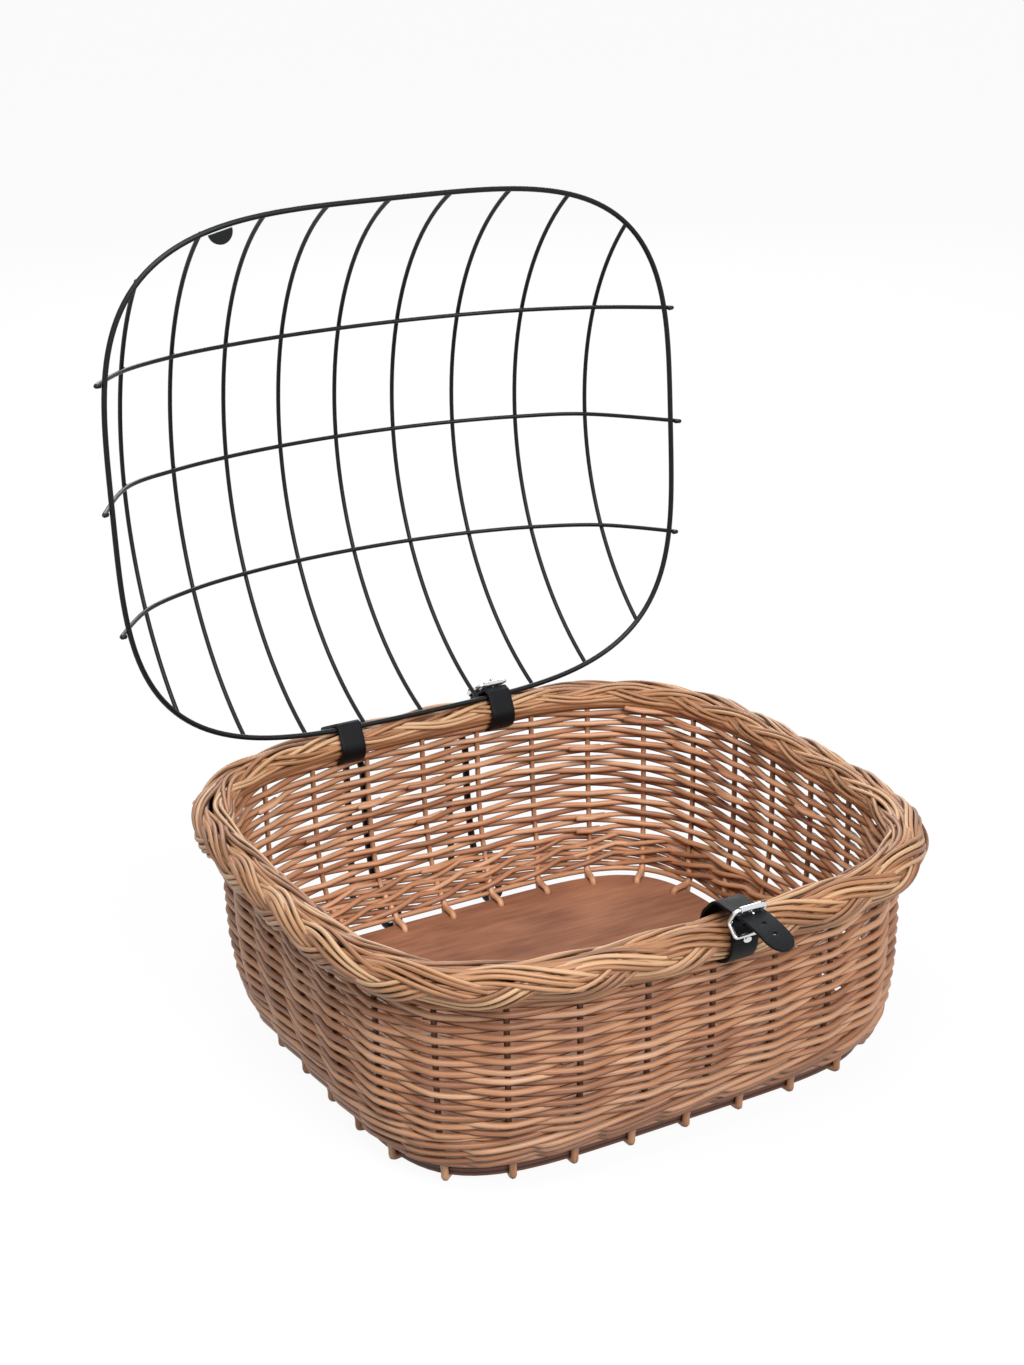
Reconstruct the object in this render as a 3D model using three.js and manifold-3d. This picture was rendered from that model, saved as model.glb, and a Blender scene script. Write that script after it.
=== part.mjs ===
// A willow bicycle basket: a plywood base, a woven wall with a plaited border, a domed wire lid that hinges
// on two leather straps, a buckled strap at the front and two steel hooks that hang it on a handlebar.
// Millimetres, +Z up, +Y towards the hinge side, +X to the right as seen from the front.
// The origin is the middle of the base board's underside.
import * as THREE from 'three';
import { mergeVertices } from 'three/addons/utils/BufferGeometryUtils.js';
import Module from 'manifold-3d';

const wasm = await Module();
wasm.setup();

// Clearances
const FIT = 0.3; // between pieces that touch
const HINGE_SLACK = 0.6; // extra room inside the hinge straps, where the rim and the lid's wire curve

// Base board
const BOARD_WIDTH = 404;
const BOARD_DEPTH = 370;
const BOARD_THICKNESS = 10;
const BOARD_SQUARENESS = 4.9; // power of the superellipse: 2 is an ellipse, higher is squarer
const STAKE_COUNT = 30;
const STAKE_DIAMETER = 4.4;
const STAKE_HOLE_INSET = 13; // from the board's edge to the middle of a hole
const STAKE_HOLE_SLACK = 0.8;
const PLAIN_WIDTH = 230; // plain middle of the board, clear of the holes
const PLAIN_DEPTH = 200;
const PLAIN_SHIFT = -25;

// Waling: the first thick rounds of weave, laced to the board by the ends of the stakes
const WALE_THICKNESS = 9.4;
const WALE_HEIGHT = 12;
const WALE_STANDOFF = 3.4; // gap between the board's edge and the waling
const WALE_LIFT = 12.5; // from the board's underside to the waling

// Woven wall
const WALL_FOOT_OVERHANG_X = 3; // past the board, level with its underside
const WALL_FOOT_OVERHANG_Y = 1;
const WALL_TOP_SQUARENESS = 3.4;
const WALL_THICKNESS = 12; // over the rods outside the stakes and those inside
const WALL_BULGE = 4; // 1 is a straight flare, higher swells out sooner
const WEAVE_RELIEF = 5.4; // how far a course swings from outside one stake to inside the next
const WEAVE_COURSES = 10; // each is a few rows of rods

// Plaited border
const RIM_WIDTH = 504;
const RIM_DEPTH = 482;
const RIM_TOP = 182;
const RIM_SQUARENESS = 3.5;
const BORDER_WIDTH = 34;
const BORDER_HEIGHT = 27;
const BORDER_OVERHANG_X = 20.5; // past the outside of the wall
const BORDER_OVERHANG_Y = 14;

// Lid
const LID_WIDTH = 504;
const LID_DEPTH = 426;
const LID_SQUARENESS = 3.66;
const LID_OPEN_ANGLE = 92.5; // degrees from closed, as it stands
const RIM_WIRE = 4.4;
const GRID_WIRE = 3.6;
const RIB_COUNT = 9;
const RIB_MARGIN = 38; // from the outer ribs to the side of the lid
const BAR_COUNT = 3;
const BAR_MARGIN = 115; // from the outer bars to the front of the lid
const DOME_HEIGHT = 142;
const DOME_SHOULDER = 8; // how far the dome's end curve aims outside the rim wire
const HINGE_INSET = 9; // hinge wire inwards of the middle of the border
const LUG_RADIUS = 10;
const LUG_THICKNESS = 2;
const LUG_RIB = 1; // the rib beside the lug, counted from the left
const LUG_RIB_GAP = 2;

// Leather straps
const STRAP_WIDTH = 21;
const STRAP_THICKNESS = 2.5;
const BUCKLE_RIB_GAP = 1.2; // between a hinge strap's buckle and the rib beside it
const FRONT_STRAP_X = 10;
const FRONT_ROUND = 13; // inside radius of the loop's raised top
const FRONT_ROUND_RISE = 9.5; // its middle, above the middle of the border
const FRONT_ROUND_REACH = 3; // and in front of it
const FRONT_BAR_ANGLE = 28; // degrees above level, where the buckle's middle bar sits on that round
const FRONT_BAR_SEAT = 1.2; // middle bar out from the leather's face
const FRONT_UPPER = 13; // middle bar to roller bar
const FRONT_LOWER = 11.7; // middle bar to lower bar
const FRONT_LOWER_ANGLE = -43; // degrees above level, from the middle bar to the lower bar
const FRONT_TAIL_LENGTH = 41; // beyond the roller bar
const FRONT_TAIL_DROOP = 7;
const LEFT_BUCKLE_ANGLE = -25; // degrees above level, as seen from the left
const RIGHT_BUCKLE_ANGLE = 58;

// Roller buckles
const BUCKLE_LENGTH = 27; // heel bar to roller bar, on the hinge straps
const BUCKLE_WIRE = 3;
const BUCKLE_SIDE_GAP = 0.6;
const BUCKLE_CORNER = 2;
const ROLLER_WALL = 0.8;
const ROLLER_LENGTH = 17;
const PRONG_WIRE = 2.2;
const PRONG_EYE_WIDTH = 3;
const PRONG_EYE_WALL = 1.6;
const PRONG_OVERHANG = 1.5; // beyond the roller
const PRONG_HOLE = 4;
const FOLD_THICKNESS = 2; // leather folded round the buckle's heel bar

// Hanging hooks
const HOOK_ROD = 6;
const HOOK_SPACING = 98;
const HOOK_BUCKLE_GAP = 1.5; // between the left hook and the left hinge strap's buckle
const HOOK_GAP = 28; // clear width for the bar that it hangs on
const HOOK_LEG_SPREAD = 14; // between the wall leg and the turned-up end
const HOOK_RETURN = 38; // height of the turned-up end
const HOOK_FOOT = 7; // height of the bend that holds the basket
const HOOK_TOP = 131; // height at which the top bend starts
const HOOK_TIP = -2;

// Facet counts
const RING_STATIONS = 56;
const BORDER_SIDES = 8;
const WALE_SIDES = 8;
const ROD_SIDES = 6;
const FOOT_SIDES = 4;
const RIB_STEPS = 3; // between two bars

const toRadians = THREE.MathUtils.degToRad;
const V = (x, y, z) => new THREE.Vector3(x, y, z);

// Even places across a width, about its middle.
function spread(width, count) {
  return Array.from({ length: count }, (_, i) => (count > 1 ? width * (i / (count - 1) - 0.5) : 0));
}

// Places that several pieces share
const borderMiddle = RIM_TOP - BORDER_HEIGHT / 2;
const wallTop = RIM_TOP - BORDER_HEIGHT - FIT;
const waleMiddle = WALE_LIFT + WALE_HEIGHT / 2;
const wallBottom = WALE_LIFT + WALE_HEIGHT + FIT;
const hingeHeight = RIM_TOP + RIM_WIRE / 2 + FIT;
const hingeWireY = RIM_DEPTH / 2 - BORDER_WIDTH / 2 - HINGE_INSET;
const buckleWidth = STRAP_WIDTH + 2 * BUCKLE_SIDE_GAP + BUCKLE_WIRE; // between the side bars' middles
const ribPlaces = spread(LID_WIDTH - 2 * RIB_MARGIN, RIB_COUNT);
const barPlaces = spread(LID_DEPTH - 2 * BAR_MARGIN, BAR_COUNT);
const ribBesideHinge = Math.abs(ribPlaces[Math.floor(RIB_COUNT / 2) - 1]);
const hingeStrapX = ribBesideHinge + GRID_WIRE / 2 + BUCKLE_RIB_GAP + (buckleWidth + BUCKLE_WIRE) / 2;

// Superellipses

function superellipse(halfWidth, halfDepth, power, angle) {
  const bend = (value) => Math.sign(value) * Math.abs(value) ** (2 / power);
  return new THREE.Vector2(halfWidth * bend(Math.cos(angle)), halfDepth * bend(Math.sin(angle)));
}

// The depth coordinate of a superellipse at a given x.
function depthAt(halfWidth, halfDepth, power, x) {
  return halfDepth * (1 - Math.min(1, Math.abs(x) / halfWidth) ** power) ** (1 / power);
}

// Evenly spaced stations round a superellipse from the middle of the front, with outward normals.
function evenRing(halfWidth, halfDepth, power, count) {
  const fine = 4096;
  const points = [];
  const lengths = [0];
  for (let i = 0; i <= fine; i += 1) {
    points.push(superellipse(halfWidth, halfDepth, power, -Math.PI / 2 + (2 * Math.PI * i) / fine));
    if (i > 0) lengths.push(lengths[i - 1] + points[i].distanceTo(points[i - 1]));
  }
  const stations = [];
  let k = 1;
  for (let i = 0; i < count; i += 1) {
    const target = (lengths[fine] * i) / count;
    while (lengths[k] < target) k += 1;
    const share = (target - lengths[k - 1]) / (lengths[k] - lengths[k - 1]);
    const along = points[k].clone().sub(points[k - 1]).normalize();
    stations.push({
      point: points[k - 1].clone().lerp(points[k], share),
      normal: new THREE.Vector2(along.y, -along.x),
    });
  }
  return stations;
}

// Solids

// Turns the faces outwards if they point in.
function facingOut(geometry) {
  const position = geometry.getAttribute('position');
  const index = geometry.index.array;
  const [a, b, c] = [V(), V(), V()];
  let volume = 0;
  for (let i = 0; i < index.length; i += 3) {
    a.fromBufferAttribute(position, index[i]);
    b.fromBufferAttribute(position, index[i + 1]);
    c.fromBufferAttribute(position, index[i + 2]);
    volume += a.dot(b.cross(c));
  }
  if (volume < 0) index.reverse();
  return geometry;
}

// A ring lofted through closed sections, the last joined to the first.
function loftRing(sections) {
  const sides = sections[0].length;
  const index = [];
  sections.forEach((section, i) => {
    const here = i * sides;
    const next = ((i + 1) % sections.length) * sides;
    for (let j = 0; j < sides; j += 1) {
      const k = (j + 1) % sides;
      index.push(here + j, next + j, next + k, here + j, next + k, here + k);
    }
  });
  const geometry = new THREE.BufferGeometry().setFromPoints(sections.flat());
  geometry.setIndex(index);
  return facingOut(geometry);
}

// A round section across a ring: outward is a unit vector in the ring's plane.
function ovalSection(centre, outward, up, halfWide, halfHigh, sides) {
  return Array.from({ length: sides }, (_, j) => {
    const angle = (2 * Math.PI * j) / sides;
    return centre.clone()
      .addScaledVector(outward, halfWide * Math.cos(angle))
      .addScaledVector(up, halfHigh * Math.sin(angle));
  });
}

// A path through given points, with one sweep step from each point to the next.
class PointPath extends THREE.Curve {
  constructor(points) {
    super();
    this.points = points;
  }

  getPoint(t, target = V()) {
    const place = t * (this.points.length - 1);
    const i = Math.min(Math.floor(place), this.points.length - 2);
    return target.copy(this.points[i]).lerp(this.points[i + 1], place - i);
  }

  getPointAt(u, target) {
    return this.getPoint(u, target);
  }

  getTangent(t, target = V()) {
    const step = 0.5 / (this.points.length - 1);
    const before = this.getPoint(Math.max(0, t - step));
    return target.copy(this.getPoint(Math.min(1, t + step))).sub(before).normalize();
  }

  getTangentAt(u, target) {
    return this.getTangent(u, target);
  }
}

// A round rod swept through points.
function rod(points, diameter, sides = ROD_SIDES) {
  const section = new THREE.Shape(
    Array.from({ length: sides }, (_, j) => {
      const angle = (2 * Math.PI * j) / sides;
      return new THREE.Vector2(Math.cos(angle), Math.sin(angle)).multiplyScalar(diameter / 2);
    }),
  );
  return new THREE.ExtrudeGeometry(section, {
    steps: points.length - 1,
    bevelEnabled: false,
    extrudePath: new PointPath(points),
  });
}

// Points along an arc in the plane of two unit vectors, angles in radians.
function arc(centre, first, second, radius, from, to, steps) {
  return Array.from({ length: steps + 1 }, (_, i) => {
    const angle = from + ((to - from) * i) / steps;
    return centre.clone()
      .addScaledVector(first, radius * Math.cos(angle))
      .addScaledVector(second, radius * Math.sin(angle));
  });
}

// A flat outline in depth and height, given as [y, z] pairs, drawn out along X about its middle.
function acrossX(outline, width, holes = []) {
  const shape = new THREE.Shape(outline.map(([y, z]) => new THREE.Vector2(y, z)));
  holes.forEach((hole) => shape.holes.push(new THREE.Path(hole.map(([y, z]) => new THREE.Vector2(y, z)))));
  const geometry = new THREE.ExtrudeGeometry(shape, { depth: width, bevelEnabled: false });
  geometry.translate(0, 0, -width / 2);
  geometry.applyMatrix4(new THREE.Matrix4().makeBasis(V(0, 1, 0), V(0, 0, 1), V(1, 0, 0)));
  return geometry;
}

function box(low, high) {
  const size = high.clone().sub(low);
  const middle = low.clone().add(high).multiplyScalar(0.5);
  return new THREE.BoxGeometry(size.x, size.y, size.z).translate(middle.x, middle.y, middle.z);
}

function solid(geometry) {
  const bare = geometry.clone();
  bare.deleteAttribute('normal');
  bare.deleteAttribute('uv');
  const merged = mergeVertices(bare, 1e-4);
  return new wasm.Manifold(new wasm.Mesh({
    numProp: 3,
    vertProperties: new Float32Array(merged.getAttribute('position').array),
    triVerts: new Uint32Array(merged.index.array),
  }));
}

function geometryOf(manifold) {
  const mesh = manifold.getMesh();
  const geometry = new THREE.BufferGeometry();
  geometry.setAttribute('position', new THREE.BufferAttribute(mesh.vertProperties, 3));
  geometry.setIndex(new THREE.BufferAttribute(mesh.triVerts, 1));
  return geometry;
}

const fuse = (geometries) => geometries.map(solid).reduce((sum, next) => sum.add(next));
const cut = (body, geometries) => geometries.map(solid).reduce((rest, next) => rest.subtract(next), body);

// Finishes

const finish = (color, roughness, metalness = 0) =>
  new THREE.MeshStandardMaterial({ color, roughness, metalness });
const finishes = {
  willow: finish('#b98554', 0.6),
  paleWillow: finish('#c79a63', 0.55),
  plywood: finish('#8a4f38', 0.55),
  wire: finish('#15181b', 0.35, 0.4),
  leather: finish('#1b1d21', 0.5),
  chrome: finish('#c9cccf', 0.2, 1),
};

const basket = new THREE.Group();

function piece(name, geometry, material, parent = basket) {
  const mesh = new THREE.Mesh(geometry, material);
  mesh.name = name;
  parent.add(mesh);
  return mesh;
}

// Base board, with a hole for each stake

const boardRing = (offset, count) =>
  evenRing(BOARD_WIDTH / 2, BOARD_DEPTH / 2, BOARD_SQUARENESS, count).map(({ point, normal }) => ({
    point: point.clone().addScaledVector(normal, offset),
    normal,
  }));

function baseBoard() {
  const [plainX, plainY] = [PLAIN_WIDTH / 2, PLAIN_DEPTH / 2];
  const plain = [[-1, -1], [1, -1], [1, 1], [-1, 1]]
    .map(([x, y]) => new THREE.Vector2(PLAIN_SHIFT + x * plainX, y * plainY));
  const outline = new THREE.Shape(boardRing(0, RING_STATIONS).map(({ point }) => point));
  boardRing(-STAKE_HOLE_INSET, STAKE_COUNT).forEach(({ point }) => {
    const hole = new THREE.Path();
    hole.absarc(point.x, point.y, STAKE_DIAMETER / 2 + STAKE_HOLE_SLACK, 0, 2 * Math.PI);
    outline.holes.push(hole);
  });
  outline.holes.push(new THREE.Path(plain));
  const plate = { depth: BOARD_THICKNESS, bevelEnabled: false, curveSegments: 3 };
  const drilled = new THREE.ExtrudeGeometry(outline, plate);
  const middle = new THREE.ExtrudeGeometry(new THREE.Shape(plain), plate);
  return geometryOf(fuse([drilled, middle]));
}

piece('base_board', baseBoard(), finishes.plywood);

// Waling ring, with the loop that each stake makes over, through and under the board

const waleOffset = WALE_STANDOFF + WALE_THICKNESS / 2;
const UP = V(0, 0, 1);

function waling() {
  const sections = boardRing(waleOffset, RING_STATIONS).map(({ point, normal }) =>
    ovalSection(V(point.x, point.y, waleMiddle), V(normal.x, normal.y, 0), UP,
      WALE_THICKNESS / 2, WALE_HEIGHT / 2, WALE_SIDES));
  const clear = STAKE_DIAMETER / 2 + 2 * FIT;
  const over = BOARD_THICKNESS + clear;
  const bend = STAKE_DIAMETER * 0.3;
  const loops = boardRing(0, STAKE_COUNT).map(({ point, normal }) => {
    const at = (out, z) => V(point.x + normal.x * out, point.y + normal.y * out, z);
    return rod([
      at(waleOffset, waleMiddle + bend / 2),
      at(clear, over),
      at(bend - STAKE_HOLE_INSET, over),
      at(-STAKE_HOLE_INSET, over - bend),
      at(-STAKE_HOLE_INSET, bend - clear),
      at(bend - STAKE_HOLE_INSET, -clear),
      at(clear - bend / 2, -clear),
      at(clear + bend / 2, bend / 2 - clear),
      at(waleOffset, waleMiddle - bend / 2),
    ], STAKE_DIAMETER, FOOT_SIDES);
  });
  return geometryOf(fuse([loftRing(sections), ...loops]));
}

piece('foot_waling', waling(), finishes.willow);

// Plaited border

const borderRing = (count) =>
  evenRing((RIM_WIDTH - BORDER_WIDTH) / 2, (RIM_DEPTH - BORDER_WIDTH) / 2, RIM_SQUARENESS, count);
const borderY = (x) =>
  depthAt((RIM_WIDTH - BORDER_WIDTH) / 2, (RIM_DEPTH - BORDER_WIDTH) / 2, RIM_SQUARENESS, x);

piece('rim_border', loftRing(borderRing(RING_STATIONS).map(({ point, normal }) =>
  ovalSection(V(point.x, point.y, borderMiddle), V(normal.x, normal.y, 0), UP,
    BORDER_WIDTH / 2, BORDER_HEIGHT / 2, BORDER_SIDES))), finishes.paleWillow);

// Straps: bands drawn out along X round what they hold. Each place is [y, z] from the middle of the border.

// The convex outline round ovals { y, z, halfY, halfZ }, grown by an offset.
function bandOutline(ovals, offset) {
  const samples = 28;
  const points = ovals.flatMap(({ y, z, halfY, halfZ }) =>
    Array.from({ length: samples }, (_, i) => {
      const angle = (2 * Math.PI * i) / samples;
      return [y + (halfY + offset) * Math.cos(angle), z + (halfZ + offset) * Math.sin(angle)];
    }));
  points.sort((p, q) => p[0] - q[0] || p[1] - q[1]);
  const turn = (o, p, q) => (p[0] - o[0]) * (q[1] - o[1]) - (p[1] - o[1]) * (q[0] - o[0]);
  const chain = (list) => list.reduce((kept, point) => {
    while (kept.length > 1 && turn(kept[kept.length - 2], kept[kept.length - 1], point) <= 0) kept.pop();
    kept.push(point);
    return kept;
  }, []);
  const lower = chain(points);
  const upper = chain(points.slice().reverse());
  return [...lower.slice(0, -1), ...upper.slice(0, -1)];
}

const borderOval = { y: 0, z: 0, halfY: BORDER_WIDTH / 2 + HINGE_SLACK, halfZ: BORDER_HEIGHT / 2 };
const rollerRadius = BUCKLE_WIRE / 2 + FIT + ROLLER_WALL;
const buckleLift = rollerRadius + FIT; // heel bar above the leather
const turned = (degrees, length) =>
  new THREE.Vector2(Math.cos(toRadians(degrees)), Math.sin(toRadians(degrees))).multiplyScalar(length);

// The front loop turns on the border, so its lower part is round.
const frontRound = new THREE.Vector2(FRONT_ROUND_REACH, FRONT_ROUND_RISE);
const frontOvals = [
  { y: 0, z: 0, halfY: borderOval.halfY, halfZ: borderOval.halfY },
  { y: frontRound.x, z: frontRound.y, halfY: FRONT_ROUND, halfZ: FRONT_ROUND },
];
const frontBar = frontRound.clone()
  .add(turned(FRONT_BAR_ANGLE, FRONT_ROUND + FIT + STRAP_THICKNESS + FRONT_BAR_SEAT));
const frontRollerRise = frontRound.y + FRONT_ROUND + 2 * FIT + STRAP_THICKNESS + rollerRadius - frontBar.y;
const frontRollerBar = new THREE.Vector2(Math.sqrt(FRONT_UPPER ** 2 - frontRollerRise ** 2), frontRollerRise);
const frontLowerBar = turned(FRONT_LOWER_ANGLE, FRONT_LOWER);

// A tube about the X axis.
function sleeve(inner, outer, length, sides) {
  const half = length / 2;
  const wall = [[inner, -half], [outer, -half], [outer, half], [inner, half], [inner, -half]];
  return new THREE.LatheGeometry(wall.map(([r, x]) => new THREE.Vector2(r, x)), sides).rotateZ(-Math.PI / 2);
}

// The strap's fold round the heel bar, open in the middle for the prong.
function heelFold() {
  const inner = BUCKLE_WIRE / 2 + FIT;
  const gap = PRONG_EYE_WIDTH + 2 * FIT;
  const length = (STRAP_WIDTH - gap) / 2;
  return [-1, 1].map((side) =>
    sleeve(inner, inner + FOLD_THICKNESS, length, 12).translate((side * (gap + length)) / 2, 0, 0));
}

// The slot that the prong's eye needs in the leather behind the heel bar.
function prongSlot() {
  const reach = BUCKLE_WIRE / 2 + FIT + PRONG_EYE_WALL + FIT;
  return sleeve(BUCKLE_WIRE / 4, reach, PRONG_EYE_WIDTH + 2 * FIT, 12);
}

// A closed frame of wire through bars along X, each given as [y, z]: the end ones turn its corners.
function wireFrame(bars) {
  const sideX = buckleWidth / 2;
  const places = bars.map(({ x, y }) => V(0, x, y));
  const spans = places.slice(1).map((place, i) => place.clone().sub(places[i]).normalize());
  const radius = BUCKLE_WIRE / 2;
  const section = (centre, normal, along) =>
    ovalSection(centre, normal, V(1, 0, 0).cross(along).normalize(), radius, radius, ROD_SIDES);
  const corner = (place, along, end, quarter) => [0, 0.5, 1].map((share) => {
    const angle = ((quarter + share) * Math.PI) / 2;
    const side = quarter === 0 || quarter === 3 ? 1 : -1;
    const normal = V(Math.cos(angle), 0, 0).addScaledVector(along, Math.sin(angle));
    const centre = place.clone()
      .add(V(side * (sideX - BUCKLE_CORNER), 0, 0))
      .addScaledVector(along, -end * BUCKLE_CORNER)
      .addScaledVector(normal, BUCKLE_CORNER);
    return section(centre, normal, along);
  });
  const bends = (side) => places.slice(1, -1).map((place, i) =>
    section(place.clone().setX(side * sideX), V(side, 0, 0), spans[i].clone().add(spans[i + 1])));
  const [first, last] = [places[0], places[places.length - 1]];
  const [lead, trail] = [spans[0], spans[spans.length - 1]];
  const ring = loftRing([
    ...corner(last, trail, 1, 0),
    ...corner(last, trail, 1, 1),
    ...bends(-1).reverse(),
    ...corner(first, lead, -1, 2),
    ...corner(first, lead, -1, 3),
    ...bends(1),
  ]);
  const across = places.slice(1, -1).map((place) =>
    rod([place.clone().setX(-sideX), place.clone().setX(sideX)], BUCKLE_WIRE));
  return geometryOf(fuse([ring, ...across]));
}

// The prong's line from the bar that carries it, along the outside of the roller to just past it.
function prongLine(rollerBar) {
  const clear = rollerRadius + FIT + PRONG_WIRE / 2;
  const away = rollerBar.length();
  const ahead = rollerBar.clone().rotateAround(new THREE.Vector2(), -Math.asin(clear / away)).normalize();
  const root = ahead.clone().multiplyScalar(BUCKLE_WIRE / 2 + FIT + PRONG_EYE_WALL / 2);
  const tip = ahead.clone().multiplyScalar(Math.sqrt(away ** 2 - clear ** 2) + PRONG_OVERHANG);
  return [root, tip].map(({ x, y }) => V(0, x, y));
}

// Frame, roller and prong about the bar that carries the prong, with the roller bar last of the bars.
function buckle(name, parent, bars) {
  const rollerBar = bars[bars.length - 1];
  piece(`${name}_buckle_frame`, wireFrame(bars), finishes.chrome, parent);
  const roller = sleeve(BUCKLE_WIRE / 2 + FIT, rollerRadius, ROLLER_LENGTH, 12);
  piece(`${name}_buckle_roller`, roller, finishes.chrome, parent).position.set(0, rollerBar.x, rollerBar.y);
  const eye = sleeve(BUCKLE_WIRE / 2 + FIT, BUCKLE_WIRE / 2 + FIT + PRONG_EYE_WALL, PRONG_EYE_WIDTH, 12);
  const prong = geometryOf(fuse([eye, rod(prongLine(rollerBar), PRONG_WIRE)]));
  piece(`${name}_buckle_prong`, prong, finishes.chrome, parent);
}

// A hinge strap round the border and the lid's wire, with its buckle on a flat of the loop.
function hingeStrap(side, x, angle) {
  const strap = new THREE.Group();
  strap.position.set(x, borderY(x), borderMiddle);
  basket.add(strap);
  const lidWire = RIM_WIRE / 2 + HINGE_SLACK;
  const outward = [Math.cos(toRadians(angle)), Math.sin(toRadians(angle))];
  const along = [-outward[1], outward[0]];
  const seat = Math.hypot(borderOval.halfY * outward[0], borderOval.halfZ * outward[1]);
  const place = (out, up) => [0, 1].map((i) => outward[i] * out + along[i] * up);
  const flatEnds = [-0.5, 0.5].map((end) => {
    const [y, z] = place(seat - 1, end * BUCKLE_LENGTH);
    return { y, z, halfY: 1, halfZ: 1 };
  });
  const wireOval = {
    y: hingeWireY - borderY(x),
    z: hingeHeight - borderMiddle,
    halfY: lidWire,
    halfZ: lidWire,
  };
  const held = [borderOval, wireOval, ...flatEnds];
  const outer = bandOutline(held, FIT + STRAP_THICKNESS);
  const band = acrossX(outer, STRAP_WIDTH, [bandOutline(held, FIT)]);
  const [heelY, heelZ] = place(seat + FIT + STRAP_THICKNESS + buckleLift, -BUCKLE_LENGTH / 2);
  const fold = heelFold().map((geometry) => geometry.translate(0, heelY, heelZ));
  const slot = prongSlot().translate(0, heelY, heelZ);
  piece(`${side}_hinge_strap`, geometryOf(cut(fuse([band, ...fold]), [slot])), finishes.leather, strap);
  const heel = new THREE.Group();
  heel.position.set(0, heelY, heelZ);
  heel.rotation.x = toRadians(angle);
  strap.add(heel);
  buckle(`${side}_hinge`, heel, [new THREE.Vector2(0, 0), new THREE.Vector2(0, BUCKLE_LENGTH)]);
  return Math.min(...outer.map(([, z]) => z));
}

// The front strap: from the buckle's middle bar under and behind the border to its top, then out in front.
function frontStrap() {
  const strap = new THREE.Group();
  strap.position.set(FRONT_STRAP_X, -borderY(FRONT_STRAP_X), borderMiddle);
  strap.rotation.z = Math.PI;
  basket.add(strap);
  const middle = FIT + STRAP_THICKNESS / 2;
  const loop = bandOutline(frontOvals, middle).reverse();
  const top = loop.reduce((best, point, i) => (point[1] > loop[best][1] ? i : best), 0);
  const onwards = [...loop.slice(top + 1), ...loop.slice(0, top + 1)];
  const angle = ([y, z]) => THREE.MathUtils.radToDeg(Math.atan2(z - frontRound.y, y - frontRound.x));
  const wrapped = onwards.slice(onwards.findIndex((point) => angle(point) < FRONT_BAR_ANGLE));
  const start = frontRound.clone().add(turned(FRONT_BAR_ANGLE, FRONT_ROUND + middle));
  const centreline = [start, ...wrapped.map(([y, z]) => new THREE.Vector2(y, z))];
  const level = frontRound.y + FRONT_ROUND + middle;
  const rollerOut = frontBar.x + frontRollerBar.x;
  const tailSteps = 6;
  for (let i = 0; i <= tailSteps; i += 1) {
    const share = i / tailSteps;
    const [out, down] = [FRONT_TAIL_LENGTH * share, FRONT_TAIL_DROOP * share ** 2];
    centreline.push(new THREE.Vector2(rollerOut + out, level - down));
  }
  const edge = (offset) => centreline.map((point, i) => {
    const along = centreline[Math.min(i + 1, centreline.length - 1)].clone()
      .sub(centreline[Math.max(i - 1, 0)]).normalize();
    return [point.x - along.y * offset, point.y + along.x * offset];
  });
  const outline = [...edge(-STRAP_THICKNESS / 2), ...edge(STRAP_THICKNESS / 2).reverse()];
  const tailEnd = rollerOut + FRONT_TAIL_LENGTH;
  const plan = new THREE.Shape();
  plan.moveTo(-STRAP_WIDTH, -2 * BORDER_WIDTH);
  plan.lineTo(STRAP_WIDTH, -2 * BORDER_WIDTH);
  plan.lineTo(STRAP_WIDTH, tailEnd - STRAP_WIDTH);
  plan.lineTo(STRAP_WIDTH / 2, tailEnd - STRAP_WIDTH);
  plan.absellipse(0, tailEnd - STRAP_WIDTH, STRAP_WIDTH / 2, STRAP_WIDTH, 0, Math.PI, false, 0);
  plan.lineTo(-STRAP_WIDTH, tailEnd - STRAP_WIDTH);
  const high = 4 * BORDER_WIDTH;
  const trim = new THREE.ExtrudeGeometry(plan, { depth: high, bevelEnabled: false, curveSegments: 8 });
  trim.translate(0, 0, -high / 2);
  const leather = fuse([acrossX(outline, STRAP_WIDTH)]).intersect(solid(trim));
  const seated = (geometry) => geometry.translate(0, frontBar.x, frontBar.y);
  const barRoom = rod([V(-STRAP_WIDTH, 0, 0), V(STRAP_WIDTH, 0, 0)], BUCKLE_WIRE + 2 * FIT, 12);
  const hole = rod(prongLine(frontRollerBar), PRONG_HOLE, 10);
  const folded = heelFold().map((fold) => solid(seated(fold))).reduce((sum, next) => sum.add(next), leather);
  const body = cut(folded, [barRoom, prongSlot(), hole].map(seated));
  piece('front_strap', geometryOf(body), finishes.leather, strap);
  const bar = new THREE.Group();
  bar.position.set(0, frontBar.x, frontBar.y);
  strap.add(bar);
  buckle('front', bar, [frontLowerBar, new THREE.Vector2(0, 0), frontRollerBar]);
}

const strapBottoms = [
  [-hingeStrapX, borderY(hingeStrapX), hingeStrap('left', -hingeStrapX, LEFT_BUCKLE_ANGLE)],
  [hingeStrapX, borderY(hingeStrapX), hingeStrap('right', hingeStrapX, RIGHT_BUCKLE_ANGLE)],
  [FRONT_STRAP_X, -borderY(FRONT_STRAP_X), -borderOval.halfY - FIT - STRAP_THICKNESS],
];
frontStrap();

// Woven wall, notched at the top where the straps pass under the border

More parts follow.
